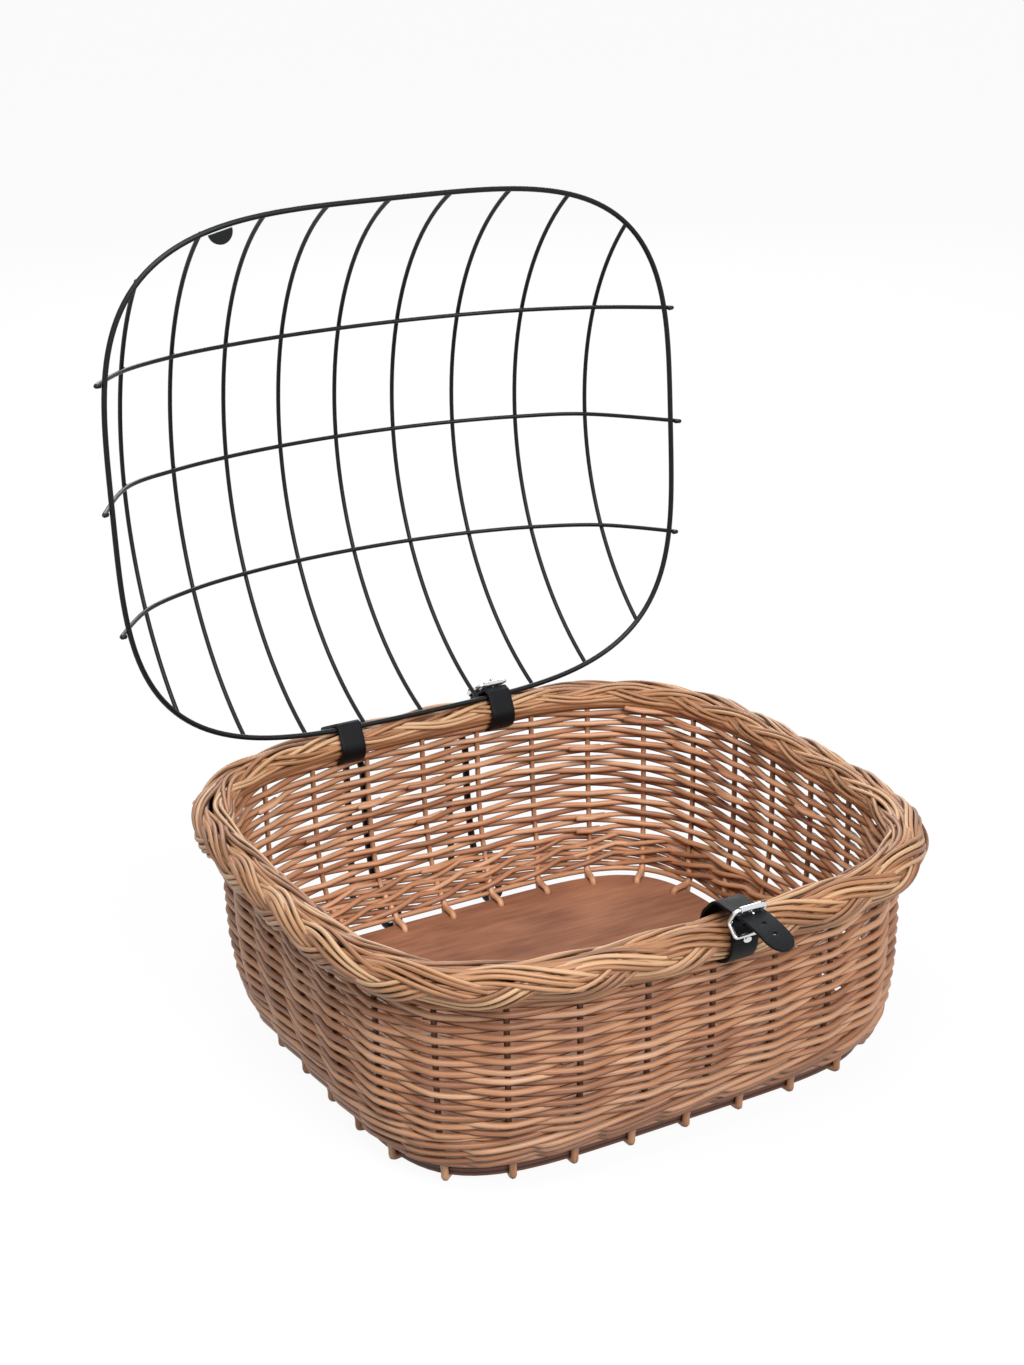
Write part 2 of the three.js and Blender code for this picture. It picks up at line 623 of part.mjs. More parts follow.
// Half width, half depth and squareness of the wall's outside at a height.
function wallAt(z) {
  const share = 1 - (1 - Math.min(1, Math.max(0, z / wallTop))) ** WALL_BULGE;
  const mix = (foot, top) => foot + (top - foot) * share;
  return [
    mix(BOARD_WIDTH / 2 + WALL_FOOT_OVERHANG_X, RIM_WIDTH / 2 - BORDER_OVERHANG_X),
    mix(BOARD_DEPTH / 2 + WALL_FOOT_OVERHANG_Y, RIM_DEPTH / 2 - BORDER_OVERHANG_Y),
    mix(BOARD_SQUARENESS, WALL_TOP_SQUARENESS),
  ];
}

// Courses that pass outside one stake and inside the next, the other way round in the course above.
function wovenWall() {
  const stations = 2 * STAKE_COUNT;
  const rings = Array.from({ length: WEAVE_COURSES }, (_, course) => {
    const z = wallBottom + ((wallTop - wallBottom) * course) / (WEAVE_COURSES - 1);
    const phase = (station) => Math.PI * (station / 2 + course);
    const inset = (station) => (WEAVE_RELIEF / 2) * (1 - Math.cos(phase(station)));
    return { z, inset, ring: evenRing(...wallAt(z), stations) };
  });
  const side = (station, depth) => rings.map(({ z, inset, ring }) => {
    const { point, normal } = ring[station];
    const inwards = inset(station) + depth;
    return V(point.x - normal.x * inwards, point.y - normal.y * inwards, z);
  });
  const sections = Array.from({ length: stations }, (_, i) =>
    [...side(i, 0), ...side(i, WALL_THICKNESS - WEAVE_RELIEF).reverse()]);
  const notches = strapBottoms.map(([x, y, bottom]) => {
    const halfWide = STRAP_WIDTH / 2 + 2 * FIT;
    const low = V(x - halfWide, y - BORDER_WIDTH, borderMiddle + bottom - FIT);
    return box(low, V(x + halfWide, y + BORDER_WIDTH, wallTop + BORDER_HEIGHT));
  });
  return geometryOf(cut(solid(loftRing(sections)), notches));
}

piece('wall_weave', wovenWall(), finishes.willow);

// Hanging hooks behind the wall: a turned-up end, a bend, a leg up the wall, a bend over and a long free leg

function hook(name, wallLeg) {
  const reach = HOOK_ROD / 2 + FIT;
  const girth = WALE_STANDOFF + WALE_THICKNESS;
  const waleY = (x) => depthAt(BOARD_WIDTH / 2 + girth, BOARD_DEPTH / 2 + girth, BOARD_SQUARENESS, x);
  const wallY = (x, z) => {
    const slope = depthAt(...wallAt(z + 0.5), x) - depthAt(...wallAt(z - 0.5), x);
    return Math.max(depthAt(...wallAt(z), x) + reach * Math.hypot(1, slope), waleY(x) + reach);
  };
  const footMiddle = wallLeg + HOOK_LEG_SPREAD / 2;
  const returnLeg = wallLeg + HOOK_LEG_SPREAD;
  const climb = (x, from, to, steps) => Array.from({ length: steps + 1 }, (_, i) => {
    const z = from + ((to - from) * i) / steps;
    return V(x, wallY(x, z), z);
  });
  const bend = arc(V(0, 0, 0), V(1, 0, 0), UP, HOOK_LEG_SPREAD / 2, 0, -Math.PI, 6).slice(1, -1)
    .map((turn) => V(footMiddle + turn.x, wallY(footMiddle, HOOK_FOOT), HOOK_FOOT + turn.z * 0.8));
  const bow = (HOOK_GAP + HOOK_ROD) / 2;
  const crown = V(wallLeg, wallY(wallLeg, HOOK_TOP) + bow, HOOK_TOP);
  const path = [
    ...climb(returnLeg, HOOK_RETURN, HOOK_FOOT, 3),
    ...bend,
    ...climb(wallLeg, HOOK_FOOT, HOOK_TOP, 9),
    ...arc(crown, V(0, -1, 0), UP, bow, 0, Math.PI, 6).slice(1),
    V(wallLeg, crown.y + bow, HOOK_TIP),
  ];
  piece(name, rod(path, HOOK_ROD), finishes.wire);
}

const leftHookX = (buckleWidth + BUCKLE_WIRE) / 2 - hingeStrapX + HOOK_BUCKLE_GAP + HOOK_ROD / 2;
hook('left_hanging_hook', leftHookX);
hook('right_hanging_hook', leftHookX + HOOK_SPACING);

// Lid, modelled closed with the hinge on its X axis, then swung open

const lid = new THREE.Group();
const lidHalfWidth = LID_WIDTH / 2;
const lidHalfDepth = LID_DEPTH / 2;
const rimReach = (x) => depthAt(lidHalfWidth, lidHalfDepth, LID_SQUARENESS, x);
const rimSide = (y) => depthAt(lidHalfDepth, lidHalfWidth, LID_SQUARENESS, y);
const lidMiddle = -rimReach(hingeStrapX); // the hinge axis runs through the wire where the straps hold it
lid.position.set(0, hingeWireY, hingeHeight);
lid.rotation.x = -toRadians(LID_OPEN_ANGLE);
basket.add(lid);

piece('lid_rim_wire', loftRing(
  evenRing(lidHalfWidth, lidHalfDepth, LID_SQUARENESS, RING_STATIONS).map(({ point, normal }) =>
    ovalSection(V(point.x, point.y + lidMiddle, 0), V(normal.x, normal.y, 0), UP,
      RIM_WIRE / 2, RIM_WIRE / 2, ROD_SIDES)),
), finishes.wire, lid);

// The circle of the rib at x: its ends rest on the rim wire and its crown follows an ellipse across the lid.
function ribCircle(x) {
  const crown = DOME_HEIGHT * Math.sqrt(1 - (x / (lidHalfWidth + DOME_SHOULDER)) ** 2);
  const reach = rimReach(x);
  const steepness = ((crown - RIM_WIRE / 2) / reach) ** 2;
  const endLean = Math.max(0, (1 - steepness) / (1 + steepness));
  const seat = RIM_WIRE / 2 + FIT + (GRID_WIRE / 2) * endLean;
  const rise = crown - seat;
  const radius = (reach ** 2 + rise ** 2) / (2 * rise);
  return { reach, radius, seat, centre: crown - radius };
}

function domeHeight(x, y) {
  const { radius, centre } = ribCircle(x);
  return centre + Math.sqrt(radius ** 2 - y ** 2);
}

ribPlaces.forEach((x, i) => {
  const { reach, radius, seat, centre } = ribCircle(x);
  const half = Math.atan2(reach, seat - centre);
  const turns = [-half, ...barPlaces.map((y) => Math.asin(y / radius)), half];
  const middle = V(x, lidMiddle, centre);
  const points = turns.slice(1).flatMap((turn, k) =>
    arc(middle, UP, V(0, 1, 0), radius, turns[k], turn, RIB_STEPS).slice(k === 0 ? 0 : 1));
  piece(`lid_rib_${i + 1}`, rod(points, GRID_WIRE), finishes.wire, lid);
});

// Each bar runs under the ribs and over the rim, and ends against the outside of the rim wire.
function barPath(y) {
  const under = GRID_WIRE + FIT;
  const step = 1;
  const crossings = ribPlaces.map((x) => {
    const height = domeHeight(x, y);
    const slopeX = (domeHeight(x + step, y) - domeHeight(x - step, y)) / (2 * step);
    const slopeY = (domeHeight(x, y + step) - domeHeight(x, y - step)) / (2 * step);
    const inward = V(slopeX, slopeY, -1).setLength(under);
    return V(x, y + lidMiddle, height).add(inward);
  });
  const end = rimSide(y) + RIM_WIRE / 2 + GRID_WIRE / 2 + FIT / 2;
  const ends = (side) => [
    V(side * end, y + lidMiddle, -GRID_WIRE / 2),
    V(side * end, y + lidMiddle, RIM_WIRE),
  ];
  const left = ends(-1);
  const right = ends(1);
  const curve = new THREE.CatmullRomCurve3([...left, ...crossings, ...right.reverse()]);
  return curve.getPoints(2 * (crossings.length + 3));
}

barPlaces.forEach((y, i) => piece(`lid_bar_${i + 1}`, rod(barPath(y), GRID_WIRE), finishes.wire, lid));

// A half-round lug on the inside of the front wire, beside a rib
function lidLug() {
  const x = ribPlaces[LUG_RIB] + GRID_WIRE / 2 + LUG_RIB_GAP + LUG_RADIUS;
  const y = -rimReach(x);
  const slope = (-rimReach(x + 1) + rimReach(x - 1)) / 2;
  const outline = new THREE.Shape();
  outline.absarc(0, 0, LUG_RADIUS, 0, Math.PI, false);
  const plate = { depth: LUG_THICKNESS, bevelEnabled: false, curveSegments: 10 };
  const lug = piece('lid_lug', new THREE.ExtrudeGeometry(outline, plate), finishes.wire, lid);
  lug.rotation.z = Math.atan(slope);
  const inwards = V(-Math.sin(lug.rotation.z), Math.cos(lug.rotation.z), 0);
  lug.position.set(x, y + lidMiddle, -LUG_THICKNESS / 2).addScaledVector(inwards, RIM_WIRE / 2 + 3 * FIT);
}

lidLug();

export default basket;
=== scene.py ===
"""Looks of a willow bicycle basket with a domed wire lid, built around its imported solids.

Sizes are in millimetres. The origin is under the middle of the base board, with +Z up and +Y to
the hinge side.
"""
import logging
import math
import random
from dataclasses import dataclass, field
from enum import Enum
from typing import Optional, Sequence, Union

import bmesh
import bpy
import numpy as np
from mathutils import Matrix, Vector
from mathutils.geometry import convex_hull_2d


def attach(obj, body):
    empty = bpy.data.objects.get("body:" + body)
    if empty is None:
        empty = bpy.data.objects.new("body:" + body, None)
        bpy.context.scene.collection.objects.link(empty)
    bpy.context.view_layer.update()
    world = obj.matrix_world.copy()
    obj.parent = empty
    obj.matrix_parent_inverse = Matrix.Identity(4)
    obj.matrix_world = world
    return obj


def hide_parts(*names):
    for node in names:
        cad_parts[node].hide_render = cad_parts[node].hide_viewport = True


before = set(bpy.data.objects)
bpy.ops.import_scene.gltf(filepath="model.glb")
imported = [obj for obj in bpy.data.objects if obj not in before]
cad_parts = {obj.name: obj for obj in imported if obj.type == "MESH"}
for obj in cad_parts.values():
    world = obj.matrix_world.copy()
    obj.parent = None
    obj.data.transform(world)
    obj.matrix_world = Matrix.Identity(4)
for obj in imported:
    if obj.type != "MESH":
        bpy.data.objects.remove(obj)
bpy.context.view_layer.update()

LOG = logging.getLogger("basket")
MM = 0.001
SEED = 11
HOLE_RADIUS = 1.7
STRAP_EDGE = 0.5
BAND_COLUMNS = 8
TIP_POWER = 2.4


class Body(Enum):
    """The moving bodies that pieces ride on."""

    BASKET = "basket"
    LID = "lid"
    FRONT_STRAP = "front_strap"
    FRONT_ROLLER = "front_roller"
    LEFT_ROLLER = "left_hinge_roller"
    RIGHT_ROLLER = "right_hinge_roller"


class Slot(Enum):
    """The material slots of the finishes."""

    BROWN_WILLOW = "brown_willow"
    PALE_WILLOW = "pale_willow"
    PLYWOOD = "plywood"
    COATED_WIRE = "coated_wire"
    BLACK_LEATHER = "black_leather"
    CHROME = "chrome"


class Value:
    """A shader socket that can be used in Python expressions."""

    def __init__(self, graph: "Graph", socket: bpy.types.NodeSocket) -> None:
        """Wrap one output socket of a graph."""
        self.graph = graph
        self.socket = socket

    def __add__(self, other: "Number") -> "Value":
        """Sum."""
        return self.graph.math("ADD", self, other)

    def __radd__(self, other: "Number") -> "Value":
        """Sum with a number on the left."""
        return self.graph.math("ADD", other, self)

    def __sub__(self, other: "Number") -> "Value":
        """Difference."""
        return self.graph.math("SUBTRACT", self, other)

    def __rsub__(self, other: "Number") -> "Value":
        """Difference with a number on the left."""
        return self.graph.math("SUBTRACT", other, self)

    def __mul__(self, other: "Number") -> "Value":
        """Product."""
        return self.graph.math("MULTIPLY", self, other)

    def __rmul__(self, other: "Number") -> "Value":
        """Product with a number on the left."""
        return self.graph.math("MULTIPLY", other, self)

    def __truediv__(self, other: "Number") -> "Value":
        """Quotient."""
        return self.graph.math("DIVIDE", self, other)

    def __rtruediv__(self, other: "Number") -> "Value":
        """Quotient with a number on the left."""
        return self.graph.math("DIVIDE", other, self)


Number = Union[Value, float, int]


def linear(colour: str) -> tuple[float, float, float, float]:
    """Turn a web colour into linear light.

    Args:
        colour: Six hexadecimal digits.

    Returns:
        Red, green, blue and an alpha of 1.
    """
    shares = [int(colour[i:i + 2], 16) / 255 for i in (0, 2, 4)]
    red, green, blue = [s / 12.92 if s <= 0.04045 else ((s + 0.055) / 1.055) ** 2.4 for s in shares]
    return red, green, blue, 1.0


class Graph:
    """A node tree with one method that makes every node."""

    def __init__(self, tree: bpy.types.NodeTree) -> None:
        """Start from an emptied tree."""
        self.tree = tree
        tree.nodes.clear()

    def node(self, kind: str, settings: Optional[dict] = None,
             sockets: Optional[dict] = None) -> bpy.types.Node:
        """Make a node.

        Args:
            kind: The node's type name.
            settings: Its properties, set first. "stops" fills a colour ramp.
            sockets: Values or links for its inputs, by name or number.

        Returns:
            The new node.
        """
        made = self.tree.nodes.new(kind)
        for name, setting in (settings or {}).items():
            if name == "stops":
                self._fill_ramp(made, setting)
            else:
                setattr(made, name, setting)
        for name, value in (sockets or {}).items():
            if isinstance(value, Value):
                self.tree.links.new(value.socket, made.inputs[name])
            else:
                made.inputs[name].default_value = value
        return made

    def _fill_ramp(self, ramp: bpy.types.Node, stops: Sequence[tuple[float, str]]) -> None:
        """Set a ramp's stops from places and web colours.

        Args:
            ramp: The ramp node.
            stops: A place from 0 to 1 and six hexadecimal digits for each stop.
        """
        elements = ramp.color_ramp.elements
        while len(elements) < len(stops):
            elements.new(0.5)
        for element, (place, colour) in zip(elements, stops):
            element.position = place
            element.color = linear(colour)

    def out(self, made: bpy.types.Node, name: Union[str, int] = 0) -> Value:
        """Wrap one output of a node."""
        return Value(self, made.outputs[name])

    def math(self, operation: str, first: Number, second: Number = 0.0) -> Value:
        """Add a Math node for an expression on values."""
        return self.out(self.node("ShaderNodeMath", {"operation": operation}, {0: first, 1: second}))

    def clamp(self, value: Value) -> Value:
        """Keep a value between 0 and 1."""
        return self.out(self.node("ShaderNodeClamp", None, {"Value": value}))

    def attribute(self, name: str, output: str = "Fac") -> Value:
        """Read one of the piece's own attributes."""
        return self.out(self.node("ShaderNodeAttribute", {"attribute_name": name}), output)

    def place(self) -> Value:
        """Object coordinates in metres."""
        return self.out(self.node("ShaderNodeTexCoord"), "Object")

    def stretch(self, vector: Value, scale: tuple[float, float, float]) -> Value:
        """Scale a vector along its own axes."""
        mapping = self.node("ShaderNodeMapping", None, {"Vector": vector, "Scale": scale})
        return self.out(mapping, "Vector")

    def shift(self, vector: Value, amount: Value) -> Value:
        """Move a vector by one value on all axes."""
        moved = self.node("ShaderNodeVectorMath", {"operation": "ADD"}, {0: vector, 1: amount})
        return self.out(moved, "Vector")

    def noise(self, vector: Value, scale: float, detail: float = 3.0) -> Value:
        """Soft noise from 0 to 1."""
        sockets = {"Vector": vector, "Scale": scale, "Detail": detail}
        return self.out(self.node("ShaderNodeTexNoise", None, sockets), 0)

    def cells(self, vector: Value, scale: float) -> Value:
        """Distance to the nearest of scattered points."""
        made = self.node("ShaderNodeTexVoronoi", None, {"Vector": vector, "Scale": scale})
        return self.out(made, "Distance")

    def ramp(self, value: Value, stops: Sequence[tuple[float, str]]) -> Value:
        """Turn a value into a colour."""
        return self.out(self.node("ShaderNodeValToRGB", {"stops": stops}, {"Fac": value}), "Color")

    def mix(self, share: Number, first: Union[Value, tuple], second: Union[Value, tuple]) -> Value:
        """Mix two colours."""
        sockets = {0: share, 6: first, 7: second}
        return self.out(self.node("ShaderNodeMix", {"data_type": "RGBA"}, sockets), 2)

    def bump(self, height: Value, strength: float, distance: float) -> Value:
        """Turn a height into a normal."""
        sockets = {"Height": height, "Strength": strength, "Distance": distance}
        return self.out(self.node("ShaderNodeBump", None, sockets), 0)

    def surface(self, sockets: dict) -> None:
        """Finish the tree with one principled surface."""
        shader = self.node("ShaderNodeBsdfPrincipled", None, sockets)
        self.node("ShaderNodeOutputMaterial", None, {"Surface": self.out(shader)})


@dataclass(frozen=True)
class Finish:
    """A named finish that makes its material once."""

    name: str
    slot: Slot

    def material(self) -> bpy.types.Material:
        """Find or make the material.

        Returns:
            The material, the same one each time.
        """
        found = bpy.data.materials.get(self.name)
        if found is None:
            found = bpy.data.materials.new(self.name)
            found.use_nodes = True
            self.paint(Graph(found.node_tree))
        return found

    def paint(self, graph: Graph) -> None:
        """Fill the material's nodes."""
        raise NotImplementedError


@dataclass(frozen=True)
class WillowFinish(Finish):
    """Bare willow rods, each with its own tone and streaks, and painted shade under and between them."""

    dark: str
    middle: str
    light: str
    painted_shade: str
    streak_scale: float = 260.0
    streak_along: float = 0.05
    blotch_scale: float = 22.0
    tone_share: float = 0.6
    streak_share: float = 0.6
    blotch_share: float = 0.5
    shade_start: float = 0.34
    painted_shade_share: float = 0.85

    def paint(self, graph: Graph) -> None:
        """Fill the material's nodes.

        Args:
            graph: The material's node graph, emptied.
        """
        tone = graph.attribute("tone")
        grain = graph.attribute("grain", "Vector")
        own = graph.shift(grain, tone * 9.0)
        streak = graph.noise(graph.stretch(own, (0.012, 0.012, self.streak_along)), self.streak_scale, 4.0)
        blotch = graph.noise(graph.stretch(own, (0.02, 0.02, 1.0)), self.blotch_scale, 3.0)
        shade = tone * self.tone_share + streak * self.streak_share + blotch * self.blotch_share
        stops = ((0.0, self.dark), (0.5, self.middle), (1.0, self.light))
        bare = graph.ramp(graph.clamp(shade - self.shade_start), stops)
        graph.surface({
            # Painted shade: each rod's underside, and its flanks between neighbours, is mixed towards the
            # shade colour.
            "Base Color": graph.mix(graph.attribute("painted_shade") * self.painted_shade_share, bare, linear(self.painted_shade)),
            "Roughness": 0.52 - streak * 0.16,
            "Normal": graph.bump(streak + blotch * 0.4, 0.35, 0.0006),
        })


@dataclass(frozen=True)
class PlywoodFinish(Finish):
    """Stained plywood: grain along X on the faces and layers on the edge."""

    face_dark: str
    face_light: str
    edge_dark: str
    edge_light: str
    thickness: float = 10.0
    layer: float = 2.0

    def paint(self, graph: Graph) -> None:
        """Fill the material's nodes.

        Args:
            graph: The material's node graph, emptied.
        """
        place = graph.place()
        grain = graph.noise(graph.stretch(place, (0.12, 1.0, 1.0)), 190.0, 6.0)
        figure = graph.noise(graph.stretch(place, (0.5, 1.0, 1.0)), 22.0, 5.0)
        shade = graph.clamp(grain * 0.9 + figure * 1.5 - 0.72)
        face = graph.ramp(shade, ((0.0, self.face_dark), (1.0, self.face_light)))
        height = graph.out(graph.node("ShaderNodeSeparateXYZ", None, {0: place}), "Z")
        layers = graph.math("FLOOR", height / (self.layer * MM))
        stripe = graph.math("PINGPONG", layers, 1.0)
        edge = graph.mix(stripe, linear(self.edge_light), linear(self.edge_dark))
        middle = self.thickness / 2
        away = graph.math("ABSOLUTE", height - middle * MM)
        flat = graph.math("GREATER_THAN", away, (middle - 0.5) * MM)
        graph.surface({
            "Base Color": graph.mix(flat, edge, face),
            "Roughness": 0.5 + grain * 0.2,
            "Normal": graph.bump(grain, 0.22, 0.0004),
        })


@dataclass(frozen=True)
class WireFinish(Finish):
    """Black dipped wire, with an uneven sheen from its roughness and patches of painted sheen."""

    colour: str
    painted_sheen: str = "0d1114"

    def paint(self, graph: Graph) -> None:
        """Fill the material's nodes.

        Args:
            graph: The material's node graph, emptied.
        """
        sheen_patches = graph.noise(graph.place(), 60.0, 2.0)
        graph.surface({
            # Painted sheen: lighter patches of the second colour, mixed in by noise.
            "Base Color": graph.mix(sheen_patches * 0.5, linear(self.colour), linear(self.painted_sheen)),
            "Roughness": 0.34 + sheen_patches * 0.12,
            "Specular IOR Level": 0.25,
        })


@dataclass(frozen=True)
class LeatherFinish(Finish):
    """Black strap leather with a fine pebbled grain."""

    colour: str
    worn: str

    def paint(self, graph: Graph) -> None:
        """Fill the material's nodes.

        Args:
            graph: The material's node graph, emptied.
        """
        place = graph.place()
        pebbles = graph.cells(place, 950.0)
        wear = graph.noise(place, 90.0, 4.0)
        graph.surface({
            "Base Color": graph.mix(graph.clamp(wear * 1.6 - 0.55), linear(self.colour), linear(self.worn)),
            "Roughness": 0.42 + wear * 0.25,
            "Specular IOR Level": 0.16,
            "Normal": graph.bump(pebbles + wear * 0.5, 0.3, 0.0004),
        })


@dataclass(frozen=True)
class ChromeFinish(Finish):
    """Plated buckle wire with fine handling marks."""

    colour: str

    def paint(self, graph: Graph) -> None:
        """Fill the material's nodes.

        Args:
            graph: The material's node graph, emptied.
        """
        marks = graph.noise(graph.place(), 420.0, 4.0)
        graph.surface({
            "Base Color": linear(self.colour),
            "Metallic": 1.0,
            "Roughness": 0.12 + marks * 0.16,
            "Normal": graph.bump(marks, 0.06, 0.0003),
        })


# The last colour of each willow is its painted shade, laid on rod undersides and flanks.
WALL_WILLOW = WillowFinish("wall_willow", Slot.BROWN_WILLOW, "774731", "c28862", "e4b793", "3a1e12")
BORDER_WILLOW = WillowFinish("border_willow", Slot.PALE_WILLOW, "6e4226", "b8835a", "e4be94", "2e170b")
BOARD_FINISH = PlywoodFinish("stained_plywood", Slot.PLYWOOD, "6b3d2b", "b87f5f", "35190f", "6d4331")
WIRE_FINISH = WireFinish("black_wire", Slot.COATED_WIRE, "06080a")
STRAP_FINISH = LeatherFinish("strap_leather", Slot.BLACK_LEATHER, "050609", "101318")
BUCKLE_FINISH = ChromeFinish("buckle_chrome", Slot.CHROME, "d8dadc")


def walked(points: np.ndarray) -> np.ndarray:
    """Length walked along a path to each of its points."""
    return np.concatenate([[0.0], np.cumsum(np.linalg.norm(np.diff(points, axis=0), axis=1))])


@dataclass(frozen=True)
class Superellipse:
    """A rounded rectangle in plan, walked from the middle of the front towards +X."""

    half_x: float
    half_y: float
    power: float

    def _trace(self) -> tuple[np.ndarray, np.ndarray]:
        """Fine points round the outline and the length walked to each.

        Returns:
            The points, and a length for each.
        """
        angle = np.linspace(-math.pi / 2, 1.5 * math.pi, 4097)
        cosine, sine = np.cos(angle), np.sin(angle)
        bend = 2 / self.power
        x = self.half_x * np.sign(cosine) * np.abs(cosine) ** bend
        y = self.half_y * np.sign(sine) * np.abs(sine) ** bend
        points = np.stack([x, y], axis=1)
        return points, walked(points)

    def girth(self) -> float:
        """Length of the outline."""
        return float(self._trace()[1][-1])

    def at(self, shares: np.ndarray) -> tuple[np.ndarray, np.ndarray]:
        """Find places on the outline.

        Args:
            shares: Shares of the girth, which may run past 0 and 1.

        Returns:
            Points and outward normals, a row for each share.
        """
        points, lengths = self._trace()
        target = np.mod(shares, 1.0) * lengths[-1]
        reach = lengths[-1] / 400

        def walk(length: np.ndarray) -> np.ndarray:
            """Points at lengths along the outline."""
            wrapped = np.mod(length, lengths[-1])
            return np.stack([np.interp(wrapped, lengths, points[:, i]) for i in (0, 1)], axis=1)

        along = walk(target + reach) - walk(target - reach)
        along /= np.linalg.norm(along, axis=1, keepdims=True)
        return walk(target), np.stack([along[:, 1], -along[:, 0]], axis=1)

    def depth_at(self, x: float) -> float:
        """Half depth at a distance across."""
        return self.half_y * (1 - min(1.0, abs(x) / self.half_x) ** self.power) ** (1 / self.power)

    def side_at(self, y: float) -> float:
        """Half width at a distance along the depth."""
        return self.half_x * (1 - min(1.0, abs(y) / self.half_y) ** self.power) ** (1 / self.power)


def raised(flat: np.ndarray, heights: Union[np.ndarray, float]) -> np.ndarray:
    """Give plan points their heights."""
    return np.column_stack([flat, np.broadcast_to(heights, len(flat))])


def smooth_path(points: Sequence, steps: int) -> np.ndarray:
    """Run a smooth curve through points.

    Args:
        points: The places it passes.
        steps: Steps from each place to the next.

    Returns:
        The curve's points.
    """
    knots = np.asarray(points, float)
    before = np.vstack([2 * knots[:1] - knots[1:2], knots[:-1]])
    after = np.vstack([knots[1:], 2 * knots[-1:] - knots[-2:-1]])
    slope = (after - before) / 2
    share = np.linspace(0, 1, steps, endpoint=False)[:, None]
    spans = []
    for i in range(len(knots) - 1):
        start = (1 + 2 * share) * (1 - share) ** 2 * knots[i] + share * (1 - share) ** 2 * slope[i]
        end = share ** 2 * (3 - 2 * share) * knots[i + 1] + share ** 2 * (share - 1) * slope[i + 1]
        spans.append(start + end)
    return np.vstack([*spans, knots[-1:]])


def even_path(points: np.ndarray, count: int) -> np.ndarray:
    """Space a path's points evenly along its length.

    Args:
        points: The path, a row for each point.
        count: How many points it gets.

    Returns:
        The path with its points evenly spaced.
    """
    lengths = walked(points)
    target = np.linspace(0, lengths[-1], count)
    return np.stack([np.interp(target, lengths, points[:, i]) for i in range(points.shape[1])], axis=1)


def arc_points(centre: Sequence[float], radius: float, start: float, end: float, count: int) -> np.ndarray:
    """Points along an arc in a plane, angles in degrees."""
    angle = np.radians(np.linspace(start, end, count))
    return np.asarray(centre) + radius * np.stack([np.cos(angle), np.sin(angle)], axis=1)


def finished(name: str, mesh: bpy.types.Mesh, finish: Finish, body: Body,
             nodes: Sequence[str]) -> bpy.types.Object:
    """Put a mesh in the scene as a piece of the object.

    Args:
        name: The piece's name.
        mesh: Its mesh, in place and in metres.
        finish: What it is made of.
        body: The body that it moves with.
        nodes: The solids that it stands for.

    Returns:
        The piece.
    """
    mesh.name = name
    mesh.materials.clear()
    mesh.materials.append(finish.material())
    made = bpy.data.objects.new(name, mesh)
    bpy.context.scene.collection.objects.link(made)
    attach(made, body.value)
    if nodes:
        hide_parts(*nodes)
    LOG.info("%s: %d faces on %s", name, len(mesh.polygons), body.value)
    return made


def baked(data: bpy.types.ID) -> bpy.types.Mesh:
    """Turn a curve into a mesh and drop the curve.

    Args:
        data: The curve.

    Returns:
        Its mesh.
    """
    carrier = bpy.data.objects.new("carrier", data)
    bpy.context.scene.collection.objects.link(carrier)
    mesh = bpy.data.meshes.new_from_object(carrier.evaluated_get(bpy.context.evaluated_depsgraph_get()))
    bpy.data.objects.remove(carrier)
    return mesh


def meshed(name: str, shape: bmesh.types.BMesh) -> bpy.types.Mesh:
    """Turn a finished shape into a mesh and free the shape.

    Args:
        name: The mesh's name.
        shape: The shape, in metres.

    Returns:
        The mesh.
    """
    mesh = bpy.data.meshes.new(name)
    shape.to_mesh(mesh)
    shape.free()
    return mesh


def rounded(mesh: bpy.types.Mesh, angle: float = 50.0) -> bpy.types.Mesh:
    """Shade a mesh smooth, with creases past an angle in degrees.

    Args:
        mesh: The mesh, shaded in place.
        angle: The least angle of a crease, in degrees.

    Returns:
        The same mesh.
    """
    mesh.shade_smooth()
    mesh.set_sharp_from_angle(angle=math.radians(angle))
    return mesh


@dataclass
class Rod:
    """One rod of a bundle: its line, its radii, its tone and the side left free of painted shade."""

    points: np.ndarray
    radii: np.ndarray
    tone: float
    closed: bool
    open_side: np.ndarray
    open_share: float


